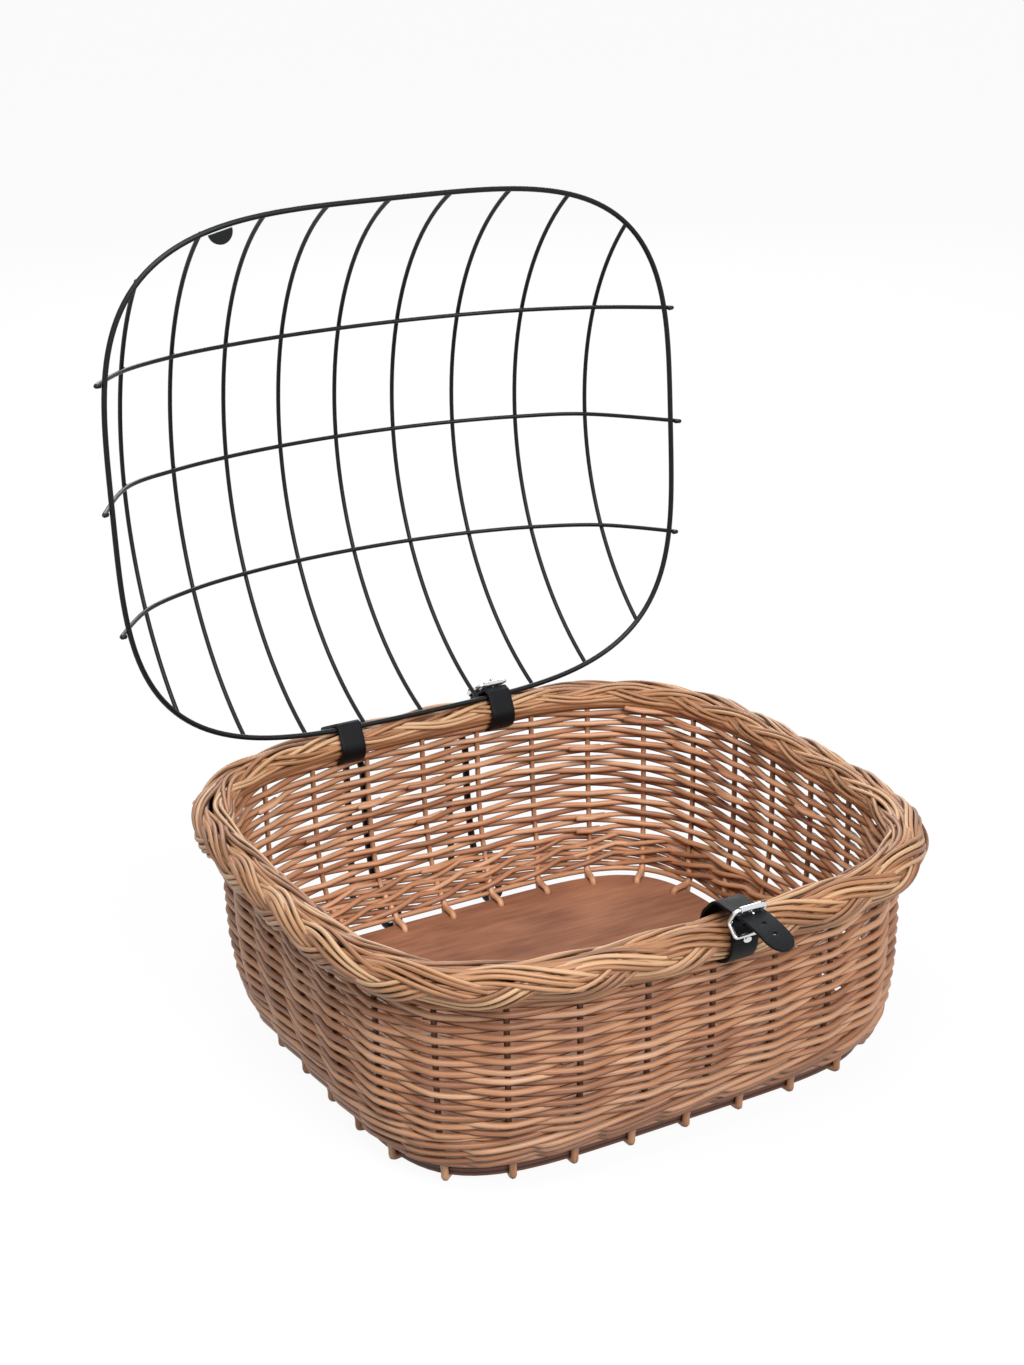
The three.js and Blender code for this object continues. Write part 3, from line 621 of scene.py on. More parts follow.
class RodBundle:
    """Round rods along paths, in one mesh with a tone, a grain direction and painted shade for each.

    A rod is painted darker, as shade, where its surface turns away from its open side, past a share of its
    radius. That is its underside, or both flanks where it lies between neighbours.
    """

    shaded_underside_share: float = -0.14
    shaded_flank_share: float = 0.66
    painted_shade_blur: float = 0.4

    def __init__(self, sides: int = 8) -> None:
        """Start an empty bundle of rods with an even number of sides."""
        self.sides = sides
        self.rods: list[Rod] = []

    def add(self, points: np.ndarray, radius: Union[float, np.ndarray], tone: float = 0.5,
            closed: bool = False, outward: Optional[np.ndarray] = None) -> None:
        """Add a rod.

        Args:
            points: Its centre line.
            radius: One radius, or one for each point.
            tone: How light it is, from 0 to 1.
            closed: Whether its end joins its start.
            outward: Which way its open side faces at each point, for a rod with neighbours on both sides.
        """
        line = np.asarray(points, float)
        radii = np.array(np.broadcast_to(np.asarray(radius, float), len(line)))
        open_side = np.tile([0.0, 0.0, 1.0], (len(line), 1)) if outward is None else outward
        if not closed:
            line, radii = self._with_ends(line, radii)
            open_side = np.vstack([open_side[[0, 0]], open_side, open_side[[-1, -1]]])
        # Painted shade falls on the underside of a lone rod, and on both flanks of one between neighbours.
        share = self.shaded_underside_share if outward is None else self.shaded_flank_share
        self.rods.append(Rod(line, radii, tone, closed, open_side, share))

    def _with_ends(self, line: np.ndarray, radii: np.ndarray) -> tuple[np.ndarray, np.ndarray]:
        """Close a rod's two ends with a slightly rounded cut.

        Args:
            line: The rod's centre line.
            radii: Its radius at each point.

        Returns:
            The line and the radii, with two more points at each end.
        """
        first, last = line[0] - line[1], line[-1] - line[-2]
        first = first / np.linalg.norm(first) * radii[0]
        last = last / np.linalg.norm(last) * radii[-1]
        bulges = np.array([[0.32], [0.24]])
        widths = np.array([0.0, 0.7])
        line = np.vstack([line[0] + first * bulges, line, line[-1] + last * bulges[::-1]])
        radii = np.concatenate([radii[0] * widths, radii, radii[-1] * widths[::-1]])
        return line, radii

    def mesh(self) -> bpy.types.Mesh:
        """Sweep the rods.

        Returns:
            One mesh of all the rods, in metres, with their attributes.
        """
        curve = bpy.data.curves.new("rods", "CURVE")
        curve.dimensions = "3D"
        curve.bevel_depth = 1.0
        curve.bevel_resolution = (self.sides - 4) // 2
        curve.fill_mode = "FULL"
        tones, grains = [], []
        around = 2 * math.pi * np.arange(self.sides) / self.sides
        for rod in self.rods:
            count = len(rod.points)
            spline = curve.splines.new("POLY")
            spline.points.add(count - 1)
            spline.points.foreach_set("co", np.column_stack([rod.points * MM, np.ones(count)]).ravel())
            spline.points.foreach_set("radius", rod.radii * MM)
            spline.use_cyclic_u = rod.closed
            along = walked(rod.points) * MM
            tones.append(np.full(count * self.sides, rod.tone))
            grains.append(np.column_stack([
                np.tile(np.cos(around), count),
                np.tile(np.sin(around), count),
                np.repeat(along, self.sides),
            ]))
        mesh = baked(curve)
        tone_values = np.concatenate(tones).astype(np.float32)
        grain_values = np.concatenate(grains).astype(np.float32)
        mesh.attributes.new("tone", "FLOAT", "POINT").data.foreach_set("value", tone_values)
        grain_data = mesh.attributes.new("grain", "FLOAT_VECTOR", "POINT").data
        grain_data.foreach_set("vector", grain_values.ravel())
        # Painted shade: a share for each vertex, darkest where it turns away from its rod's open side.
        mesh.attributes.new("painted_shade", "FLOAT", "POINT").data.foreach_set("value", self._painted_shade_shares(mesh))
        shape = bmesh.new()
        shape.from_mesh(mesh)
        bmesh.ops.remove_doubles(shape, verts=shape.verts, dist=1e-6)
        shape.to_mesh(mesh)
        shape.free()
        return rounded(mesh)

    def _painted_shade_shares(self, mesh: bpy.types.Mesh) -> np.ndarray:
        """How much painted shade each vertex gets, from 0 to 1, by how far it turns from its rod's open
        side.

        Args:
            mesh: The swept rods, before their doubles are merged.

        Returns:
            A share for each vertex.
        """
        places = np.empty(3 * len(mesh.vertices), np.float32)
        mesh.vertices.foreach_get("co", places)
        middles = np.vstack([rod.points for rod in self.rods]) * MM
        sides = np.vstack([rod.open_side for rod in self.rods])
        radii = np.concatenate([rod.radii for rod in self.rods]) * MM
        shares = np.concatenate([np.full(len(rod.points), rod.open_share) for rod in self.rods])
        away = places.reshape(-1, self.sides, 3) - middles[:, None]
        turned = np.einsum("ijk,ik->ij", away, sides) / np.maximum(radii, 1e-6)[:, None]
        return np.clip((shares[:, None] - turned) / self.painted_shade_blur, 0, 1).ravel().astype(np.float32)


def ribbon(path: np.ndarray, width: float, closed: bool = False, tip: float = 0.0,
           holes: Sequence[float] = (), slot: tuple[float, float] = (0.0, 0.0)) -> bmesh.types.BMesh:
    """Lay a flat band along a path in depth and height, about x = 0.

    Args:
        path: The band's middle line as rows of y and z, evenly spaced.
        width: The band's width.
        closed: Whether its end joins its start.
        tip: Length over which its far end rounds off.
        holes: How far along the band each punched hole is.
        slot: Where a slot along its middle starts and ends.

    Returns:
        The band's middle surface, in millimetres.
    """
    line = np.vstack([path, path[:1]]) if closed else path
    lengths = walked(line)
    total = lengths[-1]
    band = bmesh.new()
    bmesh.ops.create_grid(band, x_segments=len(line) - 1, y_segments=BAND_COLUMNS, size=1.0)
    for vert in band.verts:
        vert.co = Vector(((vert.co.x + 1) / 2 * total, vert.co.y * width / 2, 0.0))
    for hole in holes:
        punch(band, hole, HOLE_RADIUS)
    inside = []
    for face in band.faces:
        middle = face.calc_center_median()
        if slot[0] < middle.x < slot[1] and abs(middle.y) < width / BAND_COLUMNS:
            inside.append(face)
    bmesh.ops.delete(band, geom=inside, context="FACES")
    for vert in band.verts:
        along, across = vert.co.x, vert.co.y
        past = max(0.0, along - (total - tip)) / tip if tip else 0.0
        narrow = max(0.002, math.sqrt(max(0.0, 1 - past ** TIP_POWER)))
        y, z = [float(np.interp(along, lengths, line[:, i])) for i in (0, 1)]
        vert.co = Vector((across * narrow, y, z))
    bmesh.ops.remove_doubles(band, verts=band.verts, dist=0.03)
    bmesh.ops.recalc_face_normals(band, faces=band.faces)
    return band


def punch(band: bmesh.types.BMesh, along: float, radius: float) -> None:
    """Punch a round hole in the middle of a flat band, at a length along it.

    Args:
        band: The band while it is flat.
        along: How far along it the hole is.
        radius: The hole's radius.
    """
    spot = Vector((along, 0.0, 0.0))
    centre = min(band.verts, key=lambda vert: (vert.co - spot).length)
    middle = centre.co.copy()
    around = {vert for face in centre.link_faces for vert in face.verts if vert is not centre}
    for vert in around:
        vert.co = middle + (vert.co - middle).normalized() * radius
    bmesh.ops.delete(band, geom=[centre], context="VERTS")


def leather(name: str, band: bmesh.types.BMesh, place: Matrix, thickness: float, body: Body,
            nodes: Sequence[str]) -> bpy.types.Object:
    """Give a band its thickness and put it in the scene.

    Args:
        name: The strap's name.
        band: Its middle surface, in millimetres.
        place: Where its own frame sits, in millimetres.
        thickness: How thick the leather is.
        body: The body that it moves with.
        nodes: The solids that it stands for.

    Returns:
        The strap.
    """
    bmesh.ops.transform(band, matrix=Matrix.Scale(MM, 4) @ place, verts=band.verts)
    made = finished(name, rounded(meshed(name, band)), STRAP_FINISH, body, nodes)
    wall = made.modifiers.new("thickness", "SOLIDIFY")
    wall.thickness = thickness * MM
    wall.offset = 0.0
    edges = made.modifiers.new("edges", "BEVEL")
    edges.affect = "EDGES"
    edges.width = STRAP_EDGE * MM
    edges.segments = 2
    edges.profile = 0.5
    edges.material = -1
    edges.limit_method = "ANGLE"
    return made


@dataclass
class BaseBoard:
    """The plywood floor of the basket, drilled for the stakes."""

    width: float = 404.0
    depth: float = 370.0
    thickness: float = 10.0
    squareness: float = 4.9
    stakes: int = 30
    hole_inset: float = 13.0
    hole_radius: float = 2.9
    edge: float = 0.8

    def outline(self) -> Superellipse:
        """The board's edge in plan."""
        return Superellipse(self.width / 2, self.depth / 2, self.squareness)

    def stake_shares(self) -> np.ndarray:
        """Where the stakes stand, as shares of the girth."""
        return np.arange(self.stakes) / self.stakes

    def build(self) -> None:
        """Cut the board and drill it."""
        curve = bpy.data.curves.new("board", "CURVE")
        curve.dimensions = "2D"
        curve.fill_mode = "BOTH"
        curve.extrude = (self.thickness / 2 - self.edge) * MM
        curve.bevel_depth = self.edge * MM
        curve.bevel_resolution = 2
        curve.offset = -self.edge * MM
        edge_points, _ = self.outline().at(np.arange(160) / 160)
        loops = [edge_points]
        middles, normals = self.outline().at(self.stake_shares())
        for middle in middles - normals * self.hole_inset:
            loops.append(arc_points(middle, self.hole_radius, 0, 337.5, 16))
        for loop in loops:
            spline = curve.splines.new("POLY")
            spline.points.add(len(loop) - 1)
            flat = np.column_stack([loop * MM, np.zeros(len(loop)), np.ones(len(loop))])
            spline.points.foreach_set("co", flat.ravel())
            spline.use_cyclic_u = True
        mesh = baked(curve)
        mesh.transform(Matrix.Translation((0, 0, self.thickness / 2 * MM)))
        finished("base_board_plywood", rounded(mesh, 30), BOARD_FINISH, Body.BASKET, ["base_board"])


@dataclass
class WovenWall:
    """The stakes and the rows of rods woven round them, with the waling at their foot."""

    board: BaseBoard
    foot_x: float = 205.0
    foot_y: float = 186.0
    top_x: float = 231.5
    top_y: float = 227.0
    top_height: float = 154.7
    top_squareness: float = 3.4
    bulge: float = 4.0
    stake_inset: float = 6.5
    stake_radius: float = 2.3
    peg_radius: float = 2.8
    peg_sink: float = 1.4
    rod_radius: float = 2.6
    weave: float = 4.2
    pinch: float = 0.93
    rows: int = 26
    first_row: float = 43.0
    row_pitch: float = 4.85
    front_squeeze: float = 0.6
    squeeze_shift: float = 0.06
    highest_row: float = 172.0
    steps_per_stake: int = 8
    wale_out: float = 8.1
    wale_weave: float = 3.0
    wale_radius: float = 2.4
    wale_heights: tuple[float, ...] = (21.4, 28.9, 36.4)
    foot_out: float = 6.0
    foot_height: float = 13.6
    wale_slant: float = 5.7
    behind_reach: float = 0.75
    stake_top: float = 164.0
    stake_foot: float = 24.0
    stake_tones: tuple[float, float] = (0.3, 0.8)
    first_pairs: tuple[int, int] = (6, 10)
    leads: tuple[float, float] = (0.18, 0.3)
    tails: tuple[float, float] = (0.18, 0.34)
    butt_length: float = 0.45
    butt_depth: float = 1.5
    sway: float = 0.4
    sway_turns: tuple[int, ...] = (2, 5, 11)
    thick_ends: tuple[float, float] = (1.0, 1.1)
    thin_ends: tuple[float, float] = (0.84, 0.94)
    draws: random.Random = field(default_factory=lambda: random.Random(SEED))

    def outline(self, z: float) -> Superellipse:
        """The wall's outside in plan at a height.

        Args:
            z: The height.

        Returns:
            The outline there.
        """
        share = 1 - (1 - min(1.0, max(0.0, z / self.top_height))) ** self.bulge

        def mix(foot: float, top: float) -> float:
            """Between the foot's value and the top's."""
            return foot + (top - foot) * share

        power = mix(self.board.squareness, self.top_squareness)
        return Superellipse(mix(self.foot_x, self.top_x), mix(self.foot_y, self.top_y), power)

    def row_height(self, row: int, shares: np.ndarray) -> np.ndarray:
        """Heights of a row's middle round the wall, which is packed tightest at the front left."""
        squeeze = self.front_squeeze * np.cos(2 * math.pi * (shares + self.squeeze_shift))
        return np.minimum(self.first_row + row * (self.row_pitch - squeeze), self.highest_row)

    def build(self) -> None:
        """Weave the wall, its waling and its stakes."""
        self._weave_rows()
        self._weave_waling()
        self._set_stakes()

    def _weave_rows(self) -> None:
        """Weave each row from two rods, butted inside the wall."""
        bundle = RodBundle(8)
        stakes = self.board.stakes
        for row in range(self.rows):
            ring = self.outline(self.first_row + row * self.row_pitch)
            first = 2 * self.draws.randrange(stakes // 2) + (row + 1) % 2
            middle = first + 2 * self.draws.randrange(*self.first_pairs)
            phases = [self.draws.uniform(0, 2 * math.pi) for _ in self.sway_turns]
            for start, end in ((first, middle), (middle, first + stakes)):
                lead = self.draws.uniform(*self.leads)
                tail = self.draws.uniform(*self.tails)
                count = int((end - start + lead + tail) * self.steps_per_stake) + 1
                place = np.linspace(start - lead, end + tail, count)
                swing = self._swing(place + row)
                sway = sum(np.sin(2 * math.pi * place * turns / stakes + phase)
                           for turns, phase in zip(self.sway_turns, phases))
                butt = np.clip((place - (end - self.butt_length)) / self.butt_length, 0, 1)
                butt = butt * self.rod_radius * self.butt_depth
                points, normals = ring.at(place / stakes)
                flat = points + normals * (self.weave * swing - self.stake_inset - butt)[:, None]
                thick = self.draws.uniform(*self.thick_ends)
                taper = np.linspace(thick, self.draws.uniform(*self.thin_ends), count)
                heights = self.row_height(row, place / stakes) + self.sway * sway
                bundle.add(raised(flat, heights), self.rod_radius * taper, self.draws.random())
        finished("wall_rods", bundle.mesh(), WALL_WILLOW, Body.BASKET, ["wall_weave"])

    def _swing(self, place: np.ndarray) -> np.ndarray:
        """How far outside (1) or inside (-1) the stakes a rod lies, between a wave and a zigzag."""
        wave = np.cos(math.pi * place)
        return (1 - self.pinch) * wave + self.pinch * 2 / math.pi * np.arcsin(np.clip(wave, -1, 1))

    def _weave_waling(self) -> None:
        """Weave rounds of three rods, each over two stakes and behind one, rising as it goes."""
        bundle = RodBundle(8)
        stakes = self.board.stakes
        place = np.linspace(0, stakes, stakes * 8, endpoint=False)
        lowest, highest = self.wale_heights[0], self.wale_heights[-1]
        foot, foot_normals = self.board.outline().at(place / stakes)
        foot = foot + foot_normals * self.wale_out
        brow, brow_normals = self.outline(highest).at(place / stakes)
        brow = brow - brow_normals * self.stake_inset
        rim = foot + foot_normals * (self.foot_out - self.wale_out)
        bundle.add(raised(rim, self.foot_height), self.wale_radius, 0.5, True)
        for height in self.wale_heights:
            share = (height - lowest) / (highest - lowest)
            points = foot * (1 - share) + brow * share
            normals = foot_normals * (1 - share) + brow_normals * share
            for strand in range(3):
                turn = np.mod(place - strand, 3.0)
                behind = np.clip(1 - np.minimum(turn, 3 - turn) / self.behind_reach, 0, 1)
                inward = behind ** 2 * (3 - 2 * behind)
                rise = self.wale_slant * np.interp(turn, (0.0, 0.5, 2.5, 3.0), (0.0, -1.0, 1.0, 0.0))
                flat = points + normals * (self.wale_weave * (1 - 2 * inward))[:, None]
                bundle.add(raised(flat, height + rise), self.wale_radius, self.draws.random(), True)
        finished("foot_waling_rods", bundle.mesh(), WALL_WILLOW, Body.BASKET, ["foot_waling"])

    def _set_stakes(self) -> None:
        """Stand each stake in the wall, its foot laced through the board and back up round its edge."""
        bundle = RodBundle(8)
        edge = self.board.outline()
        under = -self.peg_radius + self.peg_sink
        inset = self.board.hole_inset
        for share in self.board.stake_shares():
            tops, inward = [], []
            for z in np.linspace(self.stake_top, self.stake_foot, 16):
                point, normal = self.outline(z).at(np.array([share]))
                tops.append([*(point[0] - normal[0] * self.stake_inset), z])
                inward.append([*-normal[0], 0.0])
            point, normal = edge.at(np.array([share]))
            laced = [(6.0, 17.5), (1.0, 13.4), (4 - inset, 12.6), (0.5 - inset, 10.6), (-inset, 6.0),
                     (-inset, 0.4), (2.5 - inset, under), (-2.0, under), (1.7, under + 0.5), (3.0, 0.6),
                     (3.1, 6.0), (4.6, 12.5), (6.4, 18.0)]
            foot = [[*(point[0] + normal[0] * out), z] for out, z in laced]
            tone = self.draws.uniform(*self.stake_tones)
            # The stake's open side faces into the basket, so its outward side is painted in shade.
            bundle.add(np.array(tops), self.stake_radius, tone, False, np.array(inward))
            bundle.add(smooth_path([tops[-2], *foot], 3), self.peg_radius, tone)
        finished("wall_stakes", bundle.mesh(), WALL_WILLOW, Body.BASKET, [])


@dataclass(frozen=True)
class Plait:
    """How a plait's strands swing round the border's section, in degrees from level outside.

    Lift is half the depth that a strand dips to pass under the next, and skew leans its waves to one side.
    """

    mid_angle: float
    swing_angle: float
    rods: int
    lift: float
    skew: float


@dataclass
class Border:
    """The plaited rim: one plait of three strands outside and a narrower one inside, over a core."""

    width: float = 34.0
    height: float = 27.0
    rim_x: float = 252.0
    rim_y: float = 241.0
    top: float = 182.0
    squareness: float = 3.5
    waves: int = 8
    strands: int = 3
    rod_radius: float = 1.95
    rod_pitch: float = 4.1
    outer: Plait = Plait(12.0, 52.0, 4, 2.0, 0.28)
    inner: Plait = Plait(137.0, 30.0, 2, 1.5, -0.2)
    drop: float = 6.0
    step: float = 4.5
    core_rods: int = 15
    core_radius: float = 2.6
    core_inset: float = 4.8
    pieces: int = 4
    tuck: float = 26.0
    tuck_depth: float = 3.0
    proud: float = 0.8
    cut_spread: float = 0.3
    loose: float = 0.7
    loose_waves: tuple[float, float] = (150.0, 330.0)
    wobble: float = 0.5
    wobble_waves: tuple[float, float] = (90.0, 200.0)
    core_sway: float = 0.12
    core_turns: tuple[int, ...] = (2, 3, 5)
    core_tone: float = 0.4
    thick_ends: tuple[float, float] = (1.0, 1.12)
    thin_ends: tuple[float, float] = (0.82, 0.95)
    draws: random.Random = field(default_factory=lambda: random.Random(SEED + 1))

    def middle(self) -> float:
        """Height of the border's centre line."""
        return self.top - self.height / 2

    def centre_line(self) -> Superellipse:
        """The border's centre line in plan."""
        return Superellipse(self.rim_x - self.width / 2, self.rim_y - self.width / 2, self.squareness)

    def build(self) -> None:
        """Plait the strands over the core."""
        bundle = RodBundle(8)
        self._lay_core(bundle)
        for plait in (self.outer, self.inner):
            for strand in range(self.strands):
                for rod in range(plait.rods):
                    self._lay_rod(bundle, plait, strand, rod)
        finished("border_plait", bundle.mesh(), BORDER_WILLOW, Body.BASKET, ["rim_border"])

    def _lay_core(self, bundle: RodBundle) -> None:
        """Lay the stakes' ends that the strands wind over.

        Args:
            bundle: The border's rods.
        """
        place = np.linspace(0, 1, 180, endpoint=False)
        points, normals = self.centre_line().at(place)
        for rod in range(self.core_rods):
            turns = self.draws.choice(self.core_turns)
            sway = np.sin(2 * math.pi * turns * place + self.draws.uniform(0, 2 * math.pi))
            angle = 2 * math.pi * rod / self.core_rods + self.core_sway * sway
            flat = points + normals * ((self.width / 2 - self.core_inset) * np.cos(angle))[:, None]
            heights = self.middle() + (self.height / 2 - self.core_inset) * np.sin(angle)
            # Core rods take only low tones, so the gaps between strands show painted shade; their flanks
            # get painted shade too.
            tone = self.core_tone * self.draws.random()
            bundle.add(raised(flat, heights), self.core_radius, tone, True, self._outward(normals, angle))

    def _lay_rod(self, bundle: RodBundle, plait: Plait, strand: int, rod: int) -> None:
        """Lay one place of a strand all round, pieced from several rods with tucked ends.

        Args:
            bundle: The border's rods.
            plait: The plait that it belongs to.
            strand: The strand's number.
            rod: The rod's place in its strand.
        """
        girth = self.centre_line().girth()
        spread = self.cut_spread
        spots = [piece + self.draws.uniform(-spread, spread) for piece in range(self.pieces)]
        cuts = sorted(spot * girth / self.pieces for spot in spots)
        for start, end in zip(cuts, [*cuts[1:], cuts[0] + girth]):
            first, last = start - self.tuck, end + self.tuck
            place = np.linspace(first, last, int((last - first) / self.step))
            ends = np.minimum(place - first, last - place)
            sunk = np.clip(1 - ends / self.tuck, 0, 1) ** 2
            self._lay_piece(bundle, plait, strand, rod, place, sunk)

    def _lay_piece(self, bundle: RodBundle, plait: Plait, strand: int, rod: int, place: np.ndarray,
                   sunk: np.ndarray) -> None:
        """Lay one rod beside the others of its strand, over or under the next strand.

        Args:
            bundle: The border's rods.
            plait: The plait that it belongs to.
            strand: The strand's number.
            rod: The rod's place in its strand.
            place: Lengths along the centre line.
            sunk: How far it is tucked in at each of them, from 0 to 1.
        """
        line = self.centre_line()
        girth = line.girth()
        wave = girth / self.waves
        turn = 2 * math.pi * (place / wave + strand / self.strands)
        phase = turn - plait.skew * np.cos(turn)
        speed = 1 + plait.skew * np.sin(turn)
        swing = math.radians(plait.swing_angle)
        round_radius = (self.width + self.height) / 4 - self.rod_radius
        climb = swing * np.sin(phase) * speed * 2 * math.pi / wave * round_radius
        size = np.hypot(1.0, climb)
        loose = self.loose * self._drift(place, *self.loose_waves)
        aside = (rod - (plait.rods - 1) / 2) * self.rod_pitch + loose
        along = place - aside * climb / size
        angle = math.radians(plait.mid_angle) - swing * np.cos(phase) + aside / size / round_radius
        wobble = self.wobble * self._drift(place, *self.wobble_waves)
        over = plait.lift * (np.sin(2 * phase) - 1) + self.proud
        lift = over + wobble - self.rod_radius - self.tuck_depth * sunk
        points, normals = line.at(along / girth)
        flat = points + normals * ((self.width / 2 + lift) * np.cos(angle))[:, None]
        hang = self.drop / 2 * ((1 + np.cos(2 * math.pi * along / girth)) / 2) ** 2
        heights = self.middle() - hang + (self.height / 2 + hang + lift) * np.sin(angle)
        thick = self.draws.uniform(*self.thick_ends)
        taper = np.linspace(thick, self.draws.uniform(*self.thin_ends), len(place))
        heights = np.minimum(heights, self.top - self.rod_radius * taper)
        # Painted shade on both flanks of each plait rod, where it lies between its neighbours.
        bundle.add(raised(flat, heights), self.rod_radius * taper, self.draws.random(), False,
                   self._outward(normals, angle))

    def _drift(self, place: np.ndarray, shortest: float, longest: float) -> np.ndarray:
        """A slow wave along a rod, of a chance length and start."""
        length = self.draws.uniform(shortest, longest)
        return np.sin(2 * math.pi * place / length + self.draws.uniform(0, 6.28))

    def _outward(self, normals: np.ndarray, angle: np.ndarray) -> np.ndarray:
        """Which way the border's surface faces, at angles round its section."""
        return raised(normals * np.cos(angle)[:, None], np.sin(angle))


@dataclass
class Lid:
    """The domed wire lid, modelled closed about its hinge and swung open."""

    half_x: float = 252.0
    half_y: float = 213.0
    squareness: float = 3.66
    open_angle: float = 92.5
    rim_wire: float = 4.4
    grid_wire: float = 3.6
    ribs: int = 9
    rib_margin: float = 38.0
    bars: int = 3
    bar_margin: float = 115.0
    dome: float = 142.0
    shoulder: float = 8.0
    hinge_y: float = 215.0
    hinge_z: float = 184.5
    hinge_strap_x: float = 70.6
    fit: float = 0.3
    weld_radius: float = 1.9

    def __post_init__(self) -> None:
        """Work out what the wires share."""
        self.rim = Superellipse(self.half_x, self.half_y, self.squareness)
        self.middle = -self.rim.depth_at(self.hinge_strap_x)
        self.rib_places = np.linspace(-1, 1, self.ribs) * (self.half_x - self.rib_margin)
        self.bar_places = np.linspace(-1, 1, self.bars) * (self.half_y - self.bar_margin)

    def swung(self, points: Sequence) -> np.ndarray:
        """Swing closed points about the hinge to where the lid stands open."""
        turn = np.array(Matrix.Rotation(-math.radians(self.open_angle), 3, "X"))
        return np.asarray(points, float) @ turn.T + np.array([0.0, self.hinge_y, self.hinge_z])

    def rib_circle(self, x: float) -> tuple[float, float, float, float]:
        """The rib's arc at a place across.

        Args:
            x: The place across.

        Returns:
            Half reach, radius, seat height and centre height.
        """
        crown = self.dome * math.sqrt(1 - (x / (self.half_x + self.shoulder)) ** 2)
        reach = self.rim.depth_at(x)
        steepness = ((crown - self.rim_wire / 2) / reach) ** 2
        lean = max(0.0, (1 - steepness) / (1 + steepness))
        seat = self.rim_wire / 2 + self.fit + self.grid_wire / 2 * lean
        rise = crown - seat
        radius = (reach ** 2 + rise ** 2) / (2 * rise)
        return reach, radius, seat, crown - radius

    def dome_height(self, x: float, y: float) -> float:
        """Height of the ribs' surface."""
        _, radius, _, centre = self.rib_circle(x)
        return centre + math.sqrt(radius ** 2 - y ** 2)

    def bar_crossing(self, x: float, y: float) -> np.ndarray:
        """Where a bar passes under a rib.

        Args:
            x: The place across.
            y: The place along the depth, from the lid's middle.

        Returns:
            The bar's middle there, with the lid closed.
        """
        slope_x = (self.dome_height(x + 1, y) - self.dome_height(x - 1, y)) / 2
        slope_y = (self.dome_height(x, y + 1) - self.dome_height(x, y - 1)) / 2
        inward = np.array([slope_x, slope_y, -1.0])
        inward *= (self.grid_wire + self.fit) / np.linalg.norm(inward)
        return np.array([x, y + self.middle, self.dome_height(x, y)]) + inward

    def build(self) -> None:
        """Bend and join the wires."""
        self._bend_rim()
        for number, x in enumerate(self.rib_places, 1):
            self._bend_rib(number, float(x))
        for number, y in enumerate(self.bar_places, 1):
            self._bend_bar(number, float(y))
        self._weld()
        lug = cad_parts["lid_lug"]
        lug.data.materials.clear()
        lug.data.materials.append(WIRE_FINISH.material())

    def _wire(self, name: str, points: Sequence, diameter: float, node: str, closed: bool = False) -> None:
        """Draw one wire of the lid.

        Args:
            name: The wire's name.
            points: Its centre line, with the lid closed.
            diameter: Its diameter.
            node: The solid that it stands for.
            closed: Whether its end joins its start.
        """
        bundle = RodBundle(12)
        bundle.add(self.swung(points), diameter / 2, 0.5, closed)
        finished(name, bundle.mesh(), WIRE_FINISH, Body.LID, [node])

    def _weld(self) -> None:
        """Put a small bead where each rib meets a bar and where its ends meet the rim."""
        spots = []
        for x in map(float, self.rib_places):
            reach, _, seat, _ = self.rib_circle(x)
            for y in map(float, self.bar_places):
                rib = np.array([x, y + self.middle, self.dome_height(x, y)])
                spots.append((rib + self.bar_crossing(x, y)) / 2)
            spots += [np.array([x, self.middle + end * reach, seat / 2]) for end in (-1, 1)]
        shape = bmesh.new()
        for spot in self.swung(spots):
            matrix = Matrix.Translation(Vector(spot) * MM)
            bmesh.ops.create_icosphere(shape, subdivisions=2, radius=self.weld_radius * MM, matrix=matrix)
        finished("lid_welds", rounded(meshed("welds", shape)), WIRE_FINISH, Body.LID, [])

    def _bend_rim(self) -> None:
        """Bend the rim wire."""
        points, _ = self.rim.at(np.arange(240) / 240)
        points = points + np.array([0.0, self.middle])
        self._wire("lid_rim", raised(points, 0.0), self.rim_wire, "lid_rim_wire", True)

    def _bend_rib(self, number: int, x: float) -> None:
        """Bend a rib from the front of the rim to its back.

        Args:
            number: Which rib it is, from the left.
            x: Its place across.
        """
        reach, radius, seat, centre = self.rib_circle(x)
        half = math.atan2(reach, seat - centre)
        turn = np.linspace(-half, half, 48)
        depth = self.middle + radius * np.sin(turn)
        points = np.column_stack([np.full(48, x), depth, centre + radius * np.cos(turn)])
        self._wire(f"lid_rib_wire_{number}", points, self.grid_wire, f"lid_rib_{number}")

    def _bend_bar(self, number: int, y: float) -> None:
        """Bend a bar under the ribs, with its ends against the rim.

        Args:
            number: Which bar it is, from the front of the closed lid.
            y: Its place along the depth, from the lid's middle.
        """
        end = self.rim.side_at(y) + self.rim_wire / 2 + self.grid_wire / 2 + self.fit / 2
        left = [np.array([-end, y + self.middle, z]) for z in (-self.grid_wire / 2, self.rim_wire)]
        right = [np.array([end, y + self.middle, z]) for z in (self.rim_wire, -self.grid_wire / 2)]
        crossings = [self.bar_crossing(float(x), y) for x in self.rib_places]
        path = smooth_path([*left, *crossings, *right], 8)
        self._wire(f"lid_bar_wire_{number}", path, self.grid_wire, f"lid_bar_{number}")


